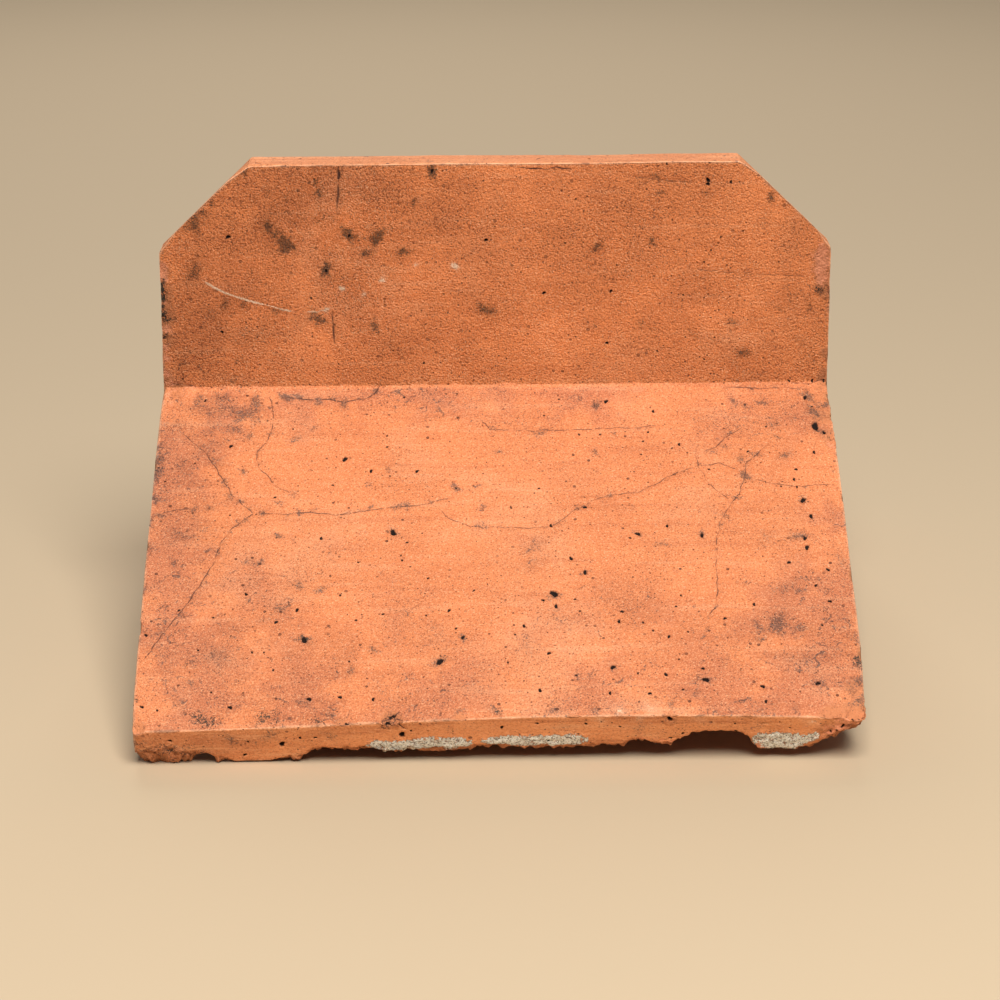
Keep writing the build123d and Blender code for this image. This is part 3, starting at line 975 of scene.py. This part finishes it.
def roundOff(sheet, places, points):
    # Moves onto the rounded edges and folds, and how far each place is from the nearest edge
    part = partOf(sheet, places[:, 1])
    moves = np.zeros((len(places), 3))
    edgeGap = np.full(len(places), 1.0)
    outline = sheet["outline"]
    for i, corner in enumerate(outline):
        side = outline[(i + 1) % len(outline)] - corner
        length = np.linalg.norm(side)
        offset = places - corner
        outward = np.array((side[1], -side[0])) / length
        if depthInside(sheet, (corner + side / 2 - outward * mm)[None])[0] < 0:
            outward = -outward
        gap = -offset @ outward
        past = offset @ side / length
        near = (gap < 8 * mm) & (gap > -0.1 * mm) & (past > -0.1 * mm) & (past < length + 0.1 * mm)
        gap = np.maximum(gap[near], 0)
        toEdge = spaceWay(sheet, places[near], outward)
        onEdge = points[near] + toEdge * gap[:, None]
        turn = sheet["edgeTurns"].get(i, squareTurn)
        moves[near] += roundEdge(sheet["normals"][part[near]], gap, toEdge, turn, edgeRadius(onEdge))
        edgeGap[near] = np.minimum(edgeGap[near], gap)
    for fold, (turn, radius) in sheet["folds"].items():
        gap = np.abs(places[:, 1] - fold)
        near = gap < 2 * radius
        flatWay = np.where(places[near, 1] < fold, 1.0, -1.0)[:, None]
        ways = sheet["ways"][part[near]] * flatWay
        moves[near] += roundEdge(sheet["normals"][part[near]], gap[near], ways, turn, radius)
    return moves, edgeGap


def sinkPits(places, pits, height, dark):
    # Lowers the height inside each pit, and marks how dark it is there with dirt and painted shade
    for place, radius, depth, turn, drawnOut in pits:
        offset = (places - place) / (1, drawnOut)
        gap = np.hypot(offset[:, 0], offset[:, 1])
        near = gap < radius * 1.6
        angle = np.arctan2(offset[near, 1], offset[near, 0])
        toRim = gap[near] / rimOf(radius, turn, angle)
        height[near] -= depth * (1 - easeIn(*pitShape["wall"], toRim))
        dark[near] = np.maximum(dark[near], 1 - easeIn(*pitShape["darkWall"], toRim))


def joinUp(places, border):
    # Triangles between all places, inside a border of this many
    edges = [(i, (i + 1) % border) for i in range(border)]
    flat = [Vector(place) for place in (places / mm).tolist()]
    _, _, triangles, origins, _, _ = delaunay_2d_cdt(flat, edges, [], 1, 1e-5)
    return np.array([[origins[k][0] for k in triangle] for triangle in triangles])


def shapeSheet(sheet):
    # All points of a sheet with their moves, marks and triangles
    places, borderPoints, onCracks, (crackDark, crackPale, crackSink), pits = placesOver(sheet)
    points = layOut(sheet, places)
    points[: len(borderPoints)] = borderPoints
    normals = normalsOver(sheet, places)
    moves, edgeGap = roundOff(sheet, places, points)
    height = sum(
        amount * mm * ripple(points, size * mm, 10 + i)
        for i, (size, amount) in enumerate(wear["unevenness"])
    )
    height[onCracks] -= crackSink

    marks = {kind: stamp(sheet, places, kind) for kind in ("stains", "soot", "raw", "pale", "grime")}
    # Each sheet's own grime level is added; on the underside it is painted shade.
    marks["grime"] += sheet["grime"]
    marks["pale"][onCracks] = np.maximum(crackPale, marks["pale"][onCracks])
    marks["edge"] = np.exp(-edgeGap / (wear["rubbedWidth"] * mm))
    marks["crack"], marks["pit"] = np.zeros((2, len(places)))
    marks["crack"][onCracks] = crackDark
    sinkPits(places, pits, height, marks["pit"])
    marks["mortar"] = mortarCover(sheet, places)
    lumps = 0.6 + ripple(points, 2.6 * mm, 41) + 0.6 * ripple(points, 1.1 * mm, 42)
    height += wear["mortarThickness"] * mm * marks["mortar"] * lumps

    triangles = joinUp(places, len(borderPoints))
    return {
        "points": points,
        "moves": moves + normals * height[:, None],
        "normals": normals,
        "marks": marks,
        "triangles": triangles,
        "border": len(borderPoints),
        "middles": places[triangles].mean(axis=1),
    }


# The sheets sewn together into one skin

markNames = ("crack", "pit", "edge", "stains", "soot", "raw", "pale", "grime", "mortar")
points, moves, normals, owners = [], [], [], []
marks = {name: [] for name in markNames}
triangles, finishes = [], []
sharedIndex = {}
for sheet in sheets:
    shape = shapeSheet(sheet)
    index = np.empty(len(shape["points"]), int)
    for i, point in enumerate(shape["points"]):
        key = tuple(np.round(point, 7)) if i < shape["border"] else None
        if key in sharedIndex:
            at = sharedIndex[key]
            moves[at] = moves[at] + shape["moves"][i]
            normals[at] = normals[at] + shape["normals"][i]
            owners[at] += 1
            for name in markNames:
                marks[name][at] = max(marks[name][at], shape["marks"][name][i])
        else:
            at = len(points)
            points.append(point)
            moves.append(shape["moves"][i])
            normals.append(shape["normals"][i])
            owners.append(1)
            for name in markNames:
                marks[name].append(shape["marks"][name][i])
            if key:
                sharedIndex[key] = at
        index[i] = at
    triangles.extend(index[shape["triangles"]].tolist())
    if sheet is front:
        flat = np.column_stack((shape["middles"], 0 * shape["middles"][:, 0]))
        seam = tile["wingWidth"] + 0.6 * mm * (2 + ripple(flat, 12 * mm, 51) + ripple(flat, 3 * mm, 52))
        finish = (shape["middles"][:, 1] > seam).astype(int)
    elif sheet is back:
        finish = (shape["middles"][:, 1] < tile["crestHeight"]).astype(int)
    else:
        finish = np.full(len(shape["triangles"]), 2)
    finishes.extend(finish.tolist())
points, moves, normals = np.array(points), np.array(moves), np.array(normals)
moves /= np.array(owners)[:, None]
normals /= np.linalg.norm(normals, axis=1)[:, None]
marks = {name: np.array(values) for name, values in marks.items()}
skin = points + moves
print("skin:", len(points), "points,", len(triangles), "triangles")


# Breaks

def breakFoot(skin):
    # The lower inner edge of the front wing, broken away as the photograph shows
    lines = []
    for name in ("soundEdge", "lowestEdge"):
        places = fromPhoto(faces["face"], brokenFoot[name])
        lines.append(np.interp(skin[:, 0], places[:, 0], places[:, 1]))
    sound, lowest = (np.maximum(line, 0.3 * mm) for line in lines)
    ends = [fromPhoto(faces["face"], pixel)[0][0] for pixel in brokenFoot["bite"]]
    bite = easeIn(ends[0] - 2 * mm, ends[0] + 5 * mm, skin[:, 0])
    bite = bite * (1 - easeIn(ends[1] - 4 * mm, ends[1] + 2 * mm, skin[:, 0]))
    upFace = np.maximum(sound, lowest)
    underFace = np.maximum(brokenFoot["underShare"] * lowest, bite * brokenFoot["biteReach"])
    corner = np.array((0, -innerY, innerZ))
    faceWay, underWay = foot["ways"][0], -underside["ways"][1]
    up, under = (skin - corner) @ faceWay, (skin - corner) @ underWay
    near = (up < brokenFoot["reach"][0]) & (under < brokenFoot["reach"][1]) & (skin[:, 1] < 0)
    rough = brokenFoot["roughness"] * lumpy(skin, 3.2, 1.3, 21)
    upFace, underFace = (np.maximum(loss + rough, 0.3 * mm) for loss in (upFace, underFace))
    lack = np.where(near, np.clip(1 - up / upFace - under / underFace, 0, 1), 0)
    skin = skin + (lack / 2 * upFace)[:, None] * faceWay + (lack / 2 * underFace)[:, None] * underWay
    hollow = brokenFoot["hollow"] * np.minimum(upFace, underFace) + rough * 0.9
    hollow = easeIn(0, 0.5, lack) * hollow
    skin += hollow[:, None] * (faceWay + underWay) / math.sqrt(2)
    return skin, easeIn(0.02, 0.2, lack)


def chipOff(skin, chip):
    # A shell-shaped chip out of the edge nearest to its pixel
    name, pixel, length, depth, rough = chip
    nearest = np.argmin(np.linalg.norm(points - spotOn(name, pixel), axis=1))
    outward = normals[nearest]
    length, depth = length * mm, depth * mm
    radius = ((length / 2) ** 2 + depth**2) / (2 * depth)
    edge = skin[nearest]
    centre = edge + outward * (radius - depth)
    offset = skin - centre
    gap = np.linalg.norm(offset, axis=1)
    near = (gap < radius) & (np.linalg.norm(skin - edge, axis=1) < length)
    uneven = radius + rough * mm * lumpy(skin[near], 1.6, 0.8, 31)
    reach = np.maximum(uneven, gap[near])
    loss = np.zeros(len(skin))
    loss[near] = np.clip((radius - gap[near]) / (0.4 * mm), 0, 1)
    skin = skin.copy()
    skin[near] = centre + offset[near] / gap[near][:, None] * reach[:, None]
    return skin, loss


def crumble(skin, place):
    # A rough patch with holes in it, deepest at its middle
    name, pixel, reach, rough, darkness = place
    gap = np.linalg.norm(points - spotOn(name, pixel), axis=1) / (reach * mm)
    near = gap < 2
    share = np.exp(-np.square(gap[near]))
    lumps = lumpy(points[near], 3.4, 1.5, 61, share=0.7)
    skin = skin.copy()
    skin[near] += normals[near] * (share * (0.5 * lumps - 0.25) * rough * mm)[:, None]
    broken, holes = np.zeros((2, len(skin)))
    broken[near] = easeIn(0.25, 0.6, share)
    holes[near] = darkness * easeIn(0.30, 0.55, -lumps) * easeIn(0.3, 0.7, share)
    return skin, broken, holes


skin, footBreak = breakFoot(skin)
chipped = np.zeros(len(skin))
for chip in chips:
    skin, loss = chipOff(skin, chip)
    chipped = np.maximum(chipped, loss)
for place in crumbles:
    skin, loss, holes = crumble(skin, place)
    chipped = np.maximum(chipped, 0.7 * loss)
    marks["pit"] = np.maximum(marks["pit"], holes)
marks["broken"] = np.maximum(footBreak, 0.8 * chipped)
skin += settling(points)
skin[:, 2] = np.maximum(skin[:, 2], 0)        # the worn feet stand flat on the floor

mesh = bpy.data.meshes.new("ridgeTileSkin")
mesh.from_pydata(skin.tolist(), [], triangles)
for name, values in marks.items():
    attribute = mesh.attributes.new(name, "FLOAT", "POINT")
    attribute.data.foreach_set("value", values.astype(np.float32))
mesh.polygons.foreach_set("material_index", finishes)
mesh.shade_smooth()
mesh.validate()
mesh.update()
ridgeTile = addObject("ridgeTile", mesh)
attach(ridgeTile, "root")
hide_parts("ridge_tile")
print("tile made:", len(mesh.polygons), "faces")


# Clay finishes

def addNode(tree, kind, settings=None, inputs=None):
    node = tree.nodes.new("ShaderNode" + kind)
    for name, value in (settings or {}).items():
        setattr(node, name, value)
    for name, value in (inputs or {}).items():
        feed(tree, node.inputs[name], value)
    return node


def feed(tree, socket, value):
    if isinstance(value, bpy.types.NodeSocket):
        tree.links.new(value, socket)
    else:
        socket.default_value = value


def compute(tree, operation, result, *values, clamp=False):
    for value in values:
        node = addNode(tree, "Math", {"operation": operation, "use_clamp": clamp})
        feed(tree, node.inputs[0], result)
        feed(tree, node.inputs[1], value)
        result = node.outputs[0]
    return result


def plus(tree, *values, clamp=False):
    return compute(tree, "ADD", *values, clamp=clamp)


def minus(tree, *values):
    return compute(tree, "SUBTRACT", *values)


def times(tree, *values):
    return compute(tree, "MULTIPLY", *values)


def most(tree, *values):
    return compute(tree, "MAXIMUM", *values)


def spread(tree, value, low, high, newLow=0.0, newHigh=1.0):
    inputs = {"Value": value, "From Min": low, "From Max": high, "To Min": newLow, "To Max": newHigh}
    return addNode(tree, "MapRange", {"interpolation_type": "SMOOTHSTEP"}, inputs).outputs[0]


def blendColors(tree, share, first, second, way="MIX"):
    node = addNode(tree, "Mix", {"data_type": "RGBA", "blend_type": way})
    feed(tree, node.inputs[0], share)
    feed(tree, node.inputs[6], first)
    feed(tree, node.inputs[7], second)
    return node.outputs[2]


def placeOf(tree):
    return addNode(tree, "TexCoord").outputs["Object"]


def noiseOf(tree, where, scale, detail, roughness, distortion=0.0):
    inputs = {
        "Vector": where, "Scale": scale, "Detail": detail, "Roughness": roughness,
        "Distortion": distortion,
    }
    return addNode(tree, "TexNoise", None, inputs).outputs["Fac"]


def readMark(tree, name):
    return addNode(tree, "Attribute", {"attribute_type": "GEOMETRY", "attribute_name": name}).outputs["Fac"]


def rgb(red, green, blue):
    return (red, green, blue, 1.0)


plainClay = rgb(0.7, 0.26, 0.11)


def makeGroup(name, inputs, outputs):
    group = bpy.data.node_groups.new(name, "ShaderNodeTree")
    for label, value in inputs.items():
        kind = "NodeSocketColor" if isinstance(value, tuple) else "NodeSocketFloat"
        socket = group.interface.new_socket(label, in_out="INPUT", socket_type=kind)
        socket.default_value = value
    for label, kind in outputs.items():
        group.interface.new_socket(label, in_out="OUTPUT", socket_type="NodeSocket" + kind)
    return group, group.nodes.new("NodeGroupInput").outputs, group.nodes.new("NodeGroupOutput").inputs


def placeGroup(tree, group, inputs):
    node = tree.nodes.new("ShaderNodeGroup")
    node.node_tree = group
    for name, value in inputs.items():
        feed(tree, node.inputs[name], value)
    return node.outputs


def makeMottle():
    # Clay colour that drifts between a paler and a darker firing, with streaks and fine flecks
    group, given, out = makeGroup(
        "kiln mottle",
        {
            "Clay": rgb(0.72, 0.27, 0.12), "Dark Clay": rgb(0.55, 0.17, 0.07),
            "Pale Clay": rgb(0.85, 0.38, 0.19), "Grime And Shade Clay": rgb(0.56, 0.19, 0.09),
            "Cloud Size": 24.0, "Fleck Size": 420.0, "Clouds": 0.5, "Flecks": 0.5, "Streaks": 0.3,
        },
        {"Color": "Color"},
    )
    where = placeOf(group)
    clouds = noiseOf(group, where, given["Cloud Size"], 5.0, 0.62, 0.5)
    flecks = noiseOf(group, where, given["Fleck Size"], 3.0, 0.75)
    drawn = addNode(group, "Mapping", None, {"Vector": where, "Scale": (14.0, 210.0, 210.0)}).outputs[0]
    streaks = noiseOf(group, drawn, 1.0, 3.0, 0.6)
    dust = noiseOf(group, where, 120.0, 6.0, 0.78, 0.4)
    # Grime and dust darken the clay; on the underside the grime is painted shade.
    dustGrimeAndShade = plus(group, readMark(group, "grime"), times(group, dust, 1.2))
    dustGrimeAndShade = times(group, spread(group, dustGrimeAndShade, 0.70, 1.40), 0.75)
    color = blendColors(group, dustGrimeAndShade, given["Clay"], given["Grime And Shade Clay"])
    for pattern, amount, darkEnds, paleEnds in (
        (clouds, "Clouds", (0.50, 0.30), (0.50, 0.72)),
        (streaks, "Streaks", (0.48, 0.28), (0.54, 0.72)),
        (flecks, "Flecks", (0.48, 0.33), (0.53, 0.68)),
    ):
        dark = times(group, spread(group, pattern, *darkEnds), given[amount])
        pale = times(group, spread(group, pattern, *paleEnds), given[amount])
        color = blendColors(group, dark, color, given["Dark Clay"])
        color = blendColors(group, pale, color, given["Pale Clay"])
    feed(group, out["Color"], color)
    return group


def makeGrain():
    # The sanded face: grit pits and grains, as a height and as masks of dark pits and specks
    group, given, out = makeGroup(
        "sanded grain",
        {"Grain Size": 800.0, "Coarseness": 0.5, "Speck Spacing": 260.0, "Specks": 0.5},
        {"Height": "Float", "Grit": "Float", "Specks": "Float"},
    )
    where = placeOf(group)
    grain = noiseOf(group, where, given["Grain Size"], 2.5, 0.65, 0.2)
    patches = noiseOf(group, where, 30.0, 3.0, 0.6)
    # Denser grit where the grime mark is high, which on the underside is painted shade.
    patches = plus(group, patches, times(group, readMark(group, "grime"), 0.3))
    density = spread(group, patches, -0.10, 1.2)
    local = times(group, given["Coarseness"], spread(group, density, 0.0, 1.0, 0.4, 1.2))
    level = spread(group, times(group, density, given["Coarseness"]), 0.0, 1.0, 0.34, 0.46)
    grit = spread(group, minus(group, level, grain), 0.0, 0.07)
    grit = times(group, grit, spread(group, density, 0.0, 1.0, 0.4, 0.9))
    specks = 0.0
    for finer, least, largest in ((1.0, 0.58, 0.24), (2.3, 0.48, 0.28)):
        scale = times(group, given["Speck Spacing"], finer)
        cells = addNode(group, "TexVoronoi", {"feature": "F1"}, {"Vector": where, "Scale": scale})
        chance = addNode(group, "SeparateColor", None, {"Color": cells.outputs["Color"]}).outputs
        size = spread(group, chance[0], least, 1.0, 0.0, largest)
        speck = spread(group, minus(group, size, cells.outputs["Distance"]), 0.0, 0.05)
        speck = times(group, speck, spread(group, chance[1], 0.0, 1.0, 0.3, 1.0))
        specks = most(group, times(group, speck, given["Specks"]), specks)
    height = minus(group, times(group, grain, local), times(group, specks, 0.4))
    feed(group, out["Height"], height)
    feed(group, out["Grit"], grit)
    feed(group, out["Specks"], specks)
    return group


def makeAge():
    # Frayed purple-grey stains, soot, bloom, open cracks, and pits darkened with dirt and painted shade,
    # over a clay colour
    group, given, out = makeGroup(
        "age marks",
        {
            "Color": plainClay, "Stain": rgb(0.35, 0.45, 0.70),
            "Soot": rgb(0.048, 0.039, 0.030), "Pale": rgb(0.97, 0.66, 0.45),
            "Raw Clay": rgb(0.95, 0.36, 0.19), "Pit Dirt And Shade": rgb(0.014, 0.006, 0.004),
            "Crack": rgb(0.13, 0.05, 0.032), "Stray Stains": 0.5,
        },
        {"Color": "Color", "Dark": "Float"},
    )
    where = placeOf(group)
    threads = spread(group, noiseOf(group, where, 360.0, 6.0, 0.78, 1.4), 0.34, 0.66)
    crumbs = spread(group, noiseOf(group, where, 1500.0, 2.0, 0.7), 0.36, 0.64)
    fray = plus(group, times(group, threads, 0.6), times(group, crumbs, 0.4))

    def frayed(name, low, high):
        return spread(group, plus(group, readMark(group, name), fray), low, high)

    color = blendColors(group, frayed("raw", 0.75, 1.05), given["Color"], given["Raw Clay"])
    drift = noiseOf(group, where, 34.0, 4.0, 0.7, 1.0)
    stray = spread(group, noiseOf(group, where, 165.0, 5.0, 0.74, 2.0), 0.50, 0.66)
    # Stray stains grow with the grime mark, which on the underside is painted shade.
    grimeAndShadeLevel = spread(group, readMark(group, "grime"), 0.0, 0.8, 0.35, 1.4)
    stray = times(group, stray, spread(group, drift, 0.38, 0.60), grimeAndShadeLevel, given["Stray Stains"])
    stain = most(group, readMark(group, "stains"), stray)
    veil = times(group, spread(group, stain, 0.0, 1.1), 0.35)
    stain = plus(group, times(group, stain, 1.2), fray)
    stain = spread(group, stain, 1.0, 1.5)
    stain = times(group, stain, spread(group, crumbs, 0.0, 1.0, 0.7, 1.0))
    stain = most(group, veil, stain)
    color = blendColors(group, stain, color, given["Stain"], "MULTIPLY")
    soot = frayed("soot", 0.80, 1.20)
    color = blendColors(group, soot, color, given["Soot"])
    paleness = readMark(group, "pale")
    bloom = times(group, spread(group, paleness, 0.0, 1.0), 0.35)
    crumbly = times(group, frayed("pale", 0.85, 1.30), spread(group, paleness, 0.35, 0.55))
    paleness = most(group, bloom, crumbly)
    color = blendColors(group, paleness, color, given["Pale"])
    crack = spread(group, readMark(group, "crack"), 0.05, 0.85)
    color = blendColors(group, times(group, crack, 0.95), color, given["Crack"])
    # Pits and crumbled holes go near black: partly dirt, partly painted shade.
    hole = spread(group, readMark(group, "pit"), 0.10, 0.60)
    color = blendColors(group, hole, color, given["Pit Dirt And Shade"])
    feed(group, out["Color"], color)
    feed(group, out["Dark"], most(group, soot, hole))
    return group


def makeBreaks():
    # Broken clay with its coarse grog, and the mortar left on it
    group, given, out = makeGroup(
        "breaks and mortar",
        {
            "Color": plainClay, "Broken Clay": rgb(0.66, 0.24, 0.10),
            "Grog": rgb(0.24, 0.08, 0.035), "Mortar": rgb(0.99, 0.94, 0.82),
            "Mortar Grit": rgb(0.24, 0.19, 0.14),
        },
        {"Color": "Color", "Height": "Float"},
    )
    where = placeOf(group)
    lumps = noiseOf(group, where, 480.0, 4.0, 0.75)
    fray = times(group, spread(group, noiseOf(group, where, 300.0, 5.0, 0.78, 0.8), 0.36, 0.64), 0.7)
    broken = readMark(group, "broken")
    tone = blendColors(group, spread(group, lumps, 0.50, 0.34), given["Broken Clay"], given["Grog"])
    color = blendColors(group, broken, given["Color"], tone)
    cover = spread(group, plus(group, readMark(group, "mortar"), fray), 0.95, 1.15)
    sand = noiseOf(group, where, 1000.0, 3.0, 0.8)
    mortar = blendColors(group, spread(group, sand, 0.50, 0.40), given["Mortar"], given["Mortar Grit"])
    color = blendColors(group, cover, color, mortar)
    feed(group, out["Color"], color)
    feed(group, out["Height"], times(group, lumps, plus(group, broken, cover, clamp=True)))
    return group


def makeEdgeWear():
    # Paler clay along the rubbed edges, and old dirt lodged in places there
    group, given, out = makeGroup(
        "edge wear",
        {
            "Color": plainClay, "Rubbed Clay": rgb(0.92, 0.48, 0.28), "Amount": 0.5,
            "Old Dirt": rgb(0.14, 0.07, 0.05), "Dirt Amount": 0.6,
        },
        {"Color": "Color"},
    )
    where = placeOf(group)
    edge = readMark(group, "edge")
    rim = spread(group, plus(group, edge, noiseOf(group, where, 150.0, 4.0, 0.6)), 1.0, 1.4)
    color = blendColors(
        group, times(group, rim, given["Amount"]), given["Color"], given["Rubbed Clay"]
    )
    lodged = spread(group, noiseOf(group, where, 95.0, 5.0, 0.75, 0.8), 0.52, 0.66)
    lodged = times(group, lodged, spread(group, edge, 0.25, 0.9), given["Dirt Amount"])
    feed(group, out["Color"], blendColors(group, lodged, color, given["Old Dirt"]))
    return group


mottleGroup, grainGroup, ageGroup = makeMottle(), makeGrain(), makeAge()
breakGroup, wearGroup = makeBreaks(), makeEdgeWear()

finishesOfClay = {
    "wingClay": {
        "mottle": {
            "Clay": rgb(0.75, 0.246, 0.095), "Dark Clay": rgb(0.42, 0.120, 0.047),
            "Pale Clay": rgb(0.86, 0.41, 0.220), "Grime And Shade Clay": rgb(0.56, 0.182, 0.088),
            "Cloud Size": 19.0, "Fleck Size": 1300.0, "Clouds": 0.3, "Flecks": 1.0, "Streaks": 0.3,
        },
        "grain": {"Grain Size": 1400.0, "Coarseness": 1.0, "Speck Spacing": 290.0, "Specks": 0.9},
        "age": {"Stain": rgb(0.30, 0.41, 0.60), "Stray Stains": 0.95},
        "edge": {"Amount": 0.5},
        "grit": rgb(0.21, 0.085, 0.055),
        "bump": 0.8,
        "relief": 1.2 * mm,
        "roughness": (0.62, 0.82),
    },
    "crestClay": {
        "mottle": {
            "Clay": rgb(0.95, 0.302, 0.100), "Dark Clay": rgb(0.56, 0.150, 0.048),
            "Pale Clay": rgb(0.99, 0.52, 0.290), "Grime And Shade Clay": rgb(0.66, 0.195, 0.062),
            "Cloud Size": 20.0, "Fleck Size": 1500.0, "Clouds": 0.2, "Flecks": 1.0, "Streaks": 0.2,
        },
        "grain": {"Grain Size": 1250.0, "Coarseness": 1.3, "Speck Spacing": 260.0, "Specks": 0.9},
        "age": {"Stain": rgb(0.18, 0.24, 0.31), "Stray Stains": 0.7},
        "edge": {"Amount": 0.4},
        "grit": rgb(0.33, 0.090, 0.034),
        "bump": 1.0,
        "relief": 4.5 * mm,
        "roughness": (0.75, 0.95),
    },
    "cutClay": {
        "mottle": {
            "Clay": rgb(0.86, 0.325, 0.126), "Dark Clay": rgb(0.52, 0.17, 0.065),
            "Pale Clay": rgb(0.93, 0.430, 0.205), "Grime And Shade Clay": rgb(0.66, 0.23, 0.092),
            "Cloud Size": 26.0, "Fleck Size": 900.0, "Clouds": 0.5, "Flecks": 0.7, "Streaks": 0.8,
        },
        "grain": {"Grain Size": 1000.0, "Coarseness": 0.7, "Speck Spacing": 250.0, "Specks": 0.9},
        "age": {"Stain": rgb(0.24, 0.34, 0.55), "Stray Stains": 0.6},
        "edge": {"Amount": 0.8},
        "grit": rgb(0.28, 0.095, 0.04),
        "bump": 0.9,
        "relief": 1.6 * mm,
        "roughness": (0.72, 0.92),
    },
}


def makeClay(name, finish):
    material = bpy.data.materials.new(name)
    material.use_nodes = True
    tree = material.node_tree
    shader = tree.nodes["Principled BSDF"]
    color = placeGroup(tree, mottleGroup, finish["mottle"])["Color"]
    grain = placeGroup(tree, grainGroup, finish["grain"])
    color = blendColors(tree, grain["Grit"], color, finish["grit"])
    color = placeGroup(tree, wearGroup, {"Color": color, **finish["edge"]})["Color"]
    color = blendColors(tree, grain["Specks"], color, rgb(0.12, 0.038, 0.020))
    breaks = placeGroup(tree, breakGroup, {"Color": color})
    age = placeGroup(tree, ageGroup, {"Color": breaks["Color"], **finish["age"]})
    feed(tree, shader.inputs["Base Color"], age["Color"])
    low, high = finish["roughness"]
    feed(tree, shader.inputs["Roughness"], spread(tree, age["Dark"], 0.0, 1.0, low, high))
    shader.inputs["Specular IOR Level"].default_value = 0.25
    height = plus(tree, grain["Height"], times(tree, breaks["Height"], 1.5))
    inputs = {"Strength": finish["bump"], "Distance": finish["relief"], "Height": height}
    bump = addNode(tree, "Bump", None, inputs)
    feed(tree, shader.inputs["Normal"], bump.outputs["Normal"])
    return material


for name, finish in finishesOfClay.items():
    mesh.materials.append(makeClay(name, finish))
print("clay finishes made:", len(mesh.materials))


# Floor, light and camera

stage = {
    "floorColor": rgb(0.52, 0.41, 0.275),
    "floorSize": 14.0,
    "skyColor": rgb(0.92, 0.95, 1.0),
    "skyStrength": 0.12,
    "litPoint": (0, -0.05, 0.1),
    "lamps": (        # name, place, size, watts, colour
        ("frontLamp", (0.25, -1.60, 1.95), 1.2, 92.0, (1.0, 0.96, 0.91)),
        ("backLamp", (-0.20, 2.00, 1.70), 1.4, 24.0, (1.0, 0.96, 0.91)),
    ),
}
floorMaterial = bpy.data.materials.new("paleFloor")
floorMaterial.use_nodes = True
floorShader = floorMaterial.node_tree.nodes["Principled BSDF"]
floorShader.inputs["Base Color"].default_value = stage["floorColor"]
floorShader.inputs["Roughness"].default_value = 0.9
floorMesh = bpy.data.meshes.new("floor")
reach = stage["floorSize"] / 2
floorMesh.from_pydata(
    [(-reach, -reach, 0), (reach, -reach, 0), (reach, reach, 0), (-reach, reach, 0)], [], [(0, 1, 2, 3)]
)
floorMesh.materials.append(floorMaterial)
floor = addObject("floor", floorMesh)

world = bpy.data.worlds.new("softSky")
bpy.context.scene.world = world
world.use_nodes = True
sky = world.node_tree.nodes["Background"]
sky.inputs["Color"].default_value = stage["skyColor"]
sky.inputs["Strength"].default_value = stage["skyStrength"]
for name, place, size, power, color in stage["lamps"]:
    lamp = bpy.data.lights.new(name, "AREA")
    lamp.shape = "SQUARE"
    lamp.size = size
    lamp.energy = power
    lamp.color = color
    holder = addObject(name, lamp)
    holder.location = place
    holder.rotation_euler = (Vector(stage["litPoint"]) - Vector(place)).to_track_quat("-Z", "Y").to_euler()

camera = bpy.data.cameras.new("camera")
camera.lens = shot["lens"]
camera.sensor_width = shot["sensor"]
camera.clip_end = 50
cameraHolder = addObject("camera", camera)
cameraHolder.matrix_world = Matrix.Translation(shot["eye"]) @ aim.to_4x4()
bpy.context.scene.camera = cameraHolder
bpy.context.scene.view_settings.view_transform = "Standard"
print("floor, light and camera set")
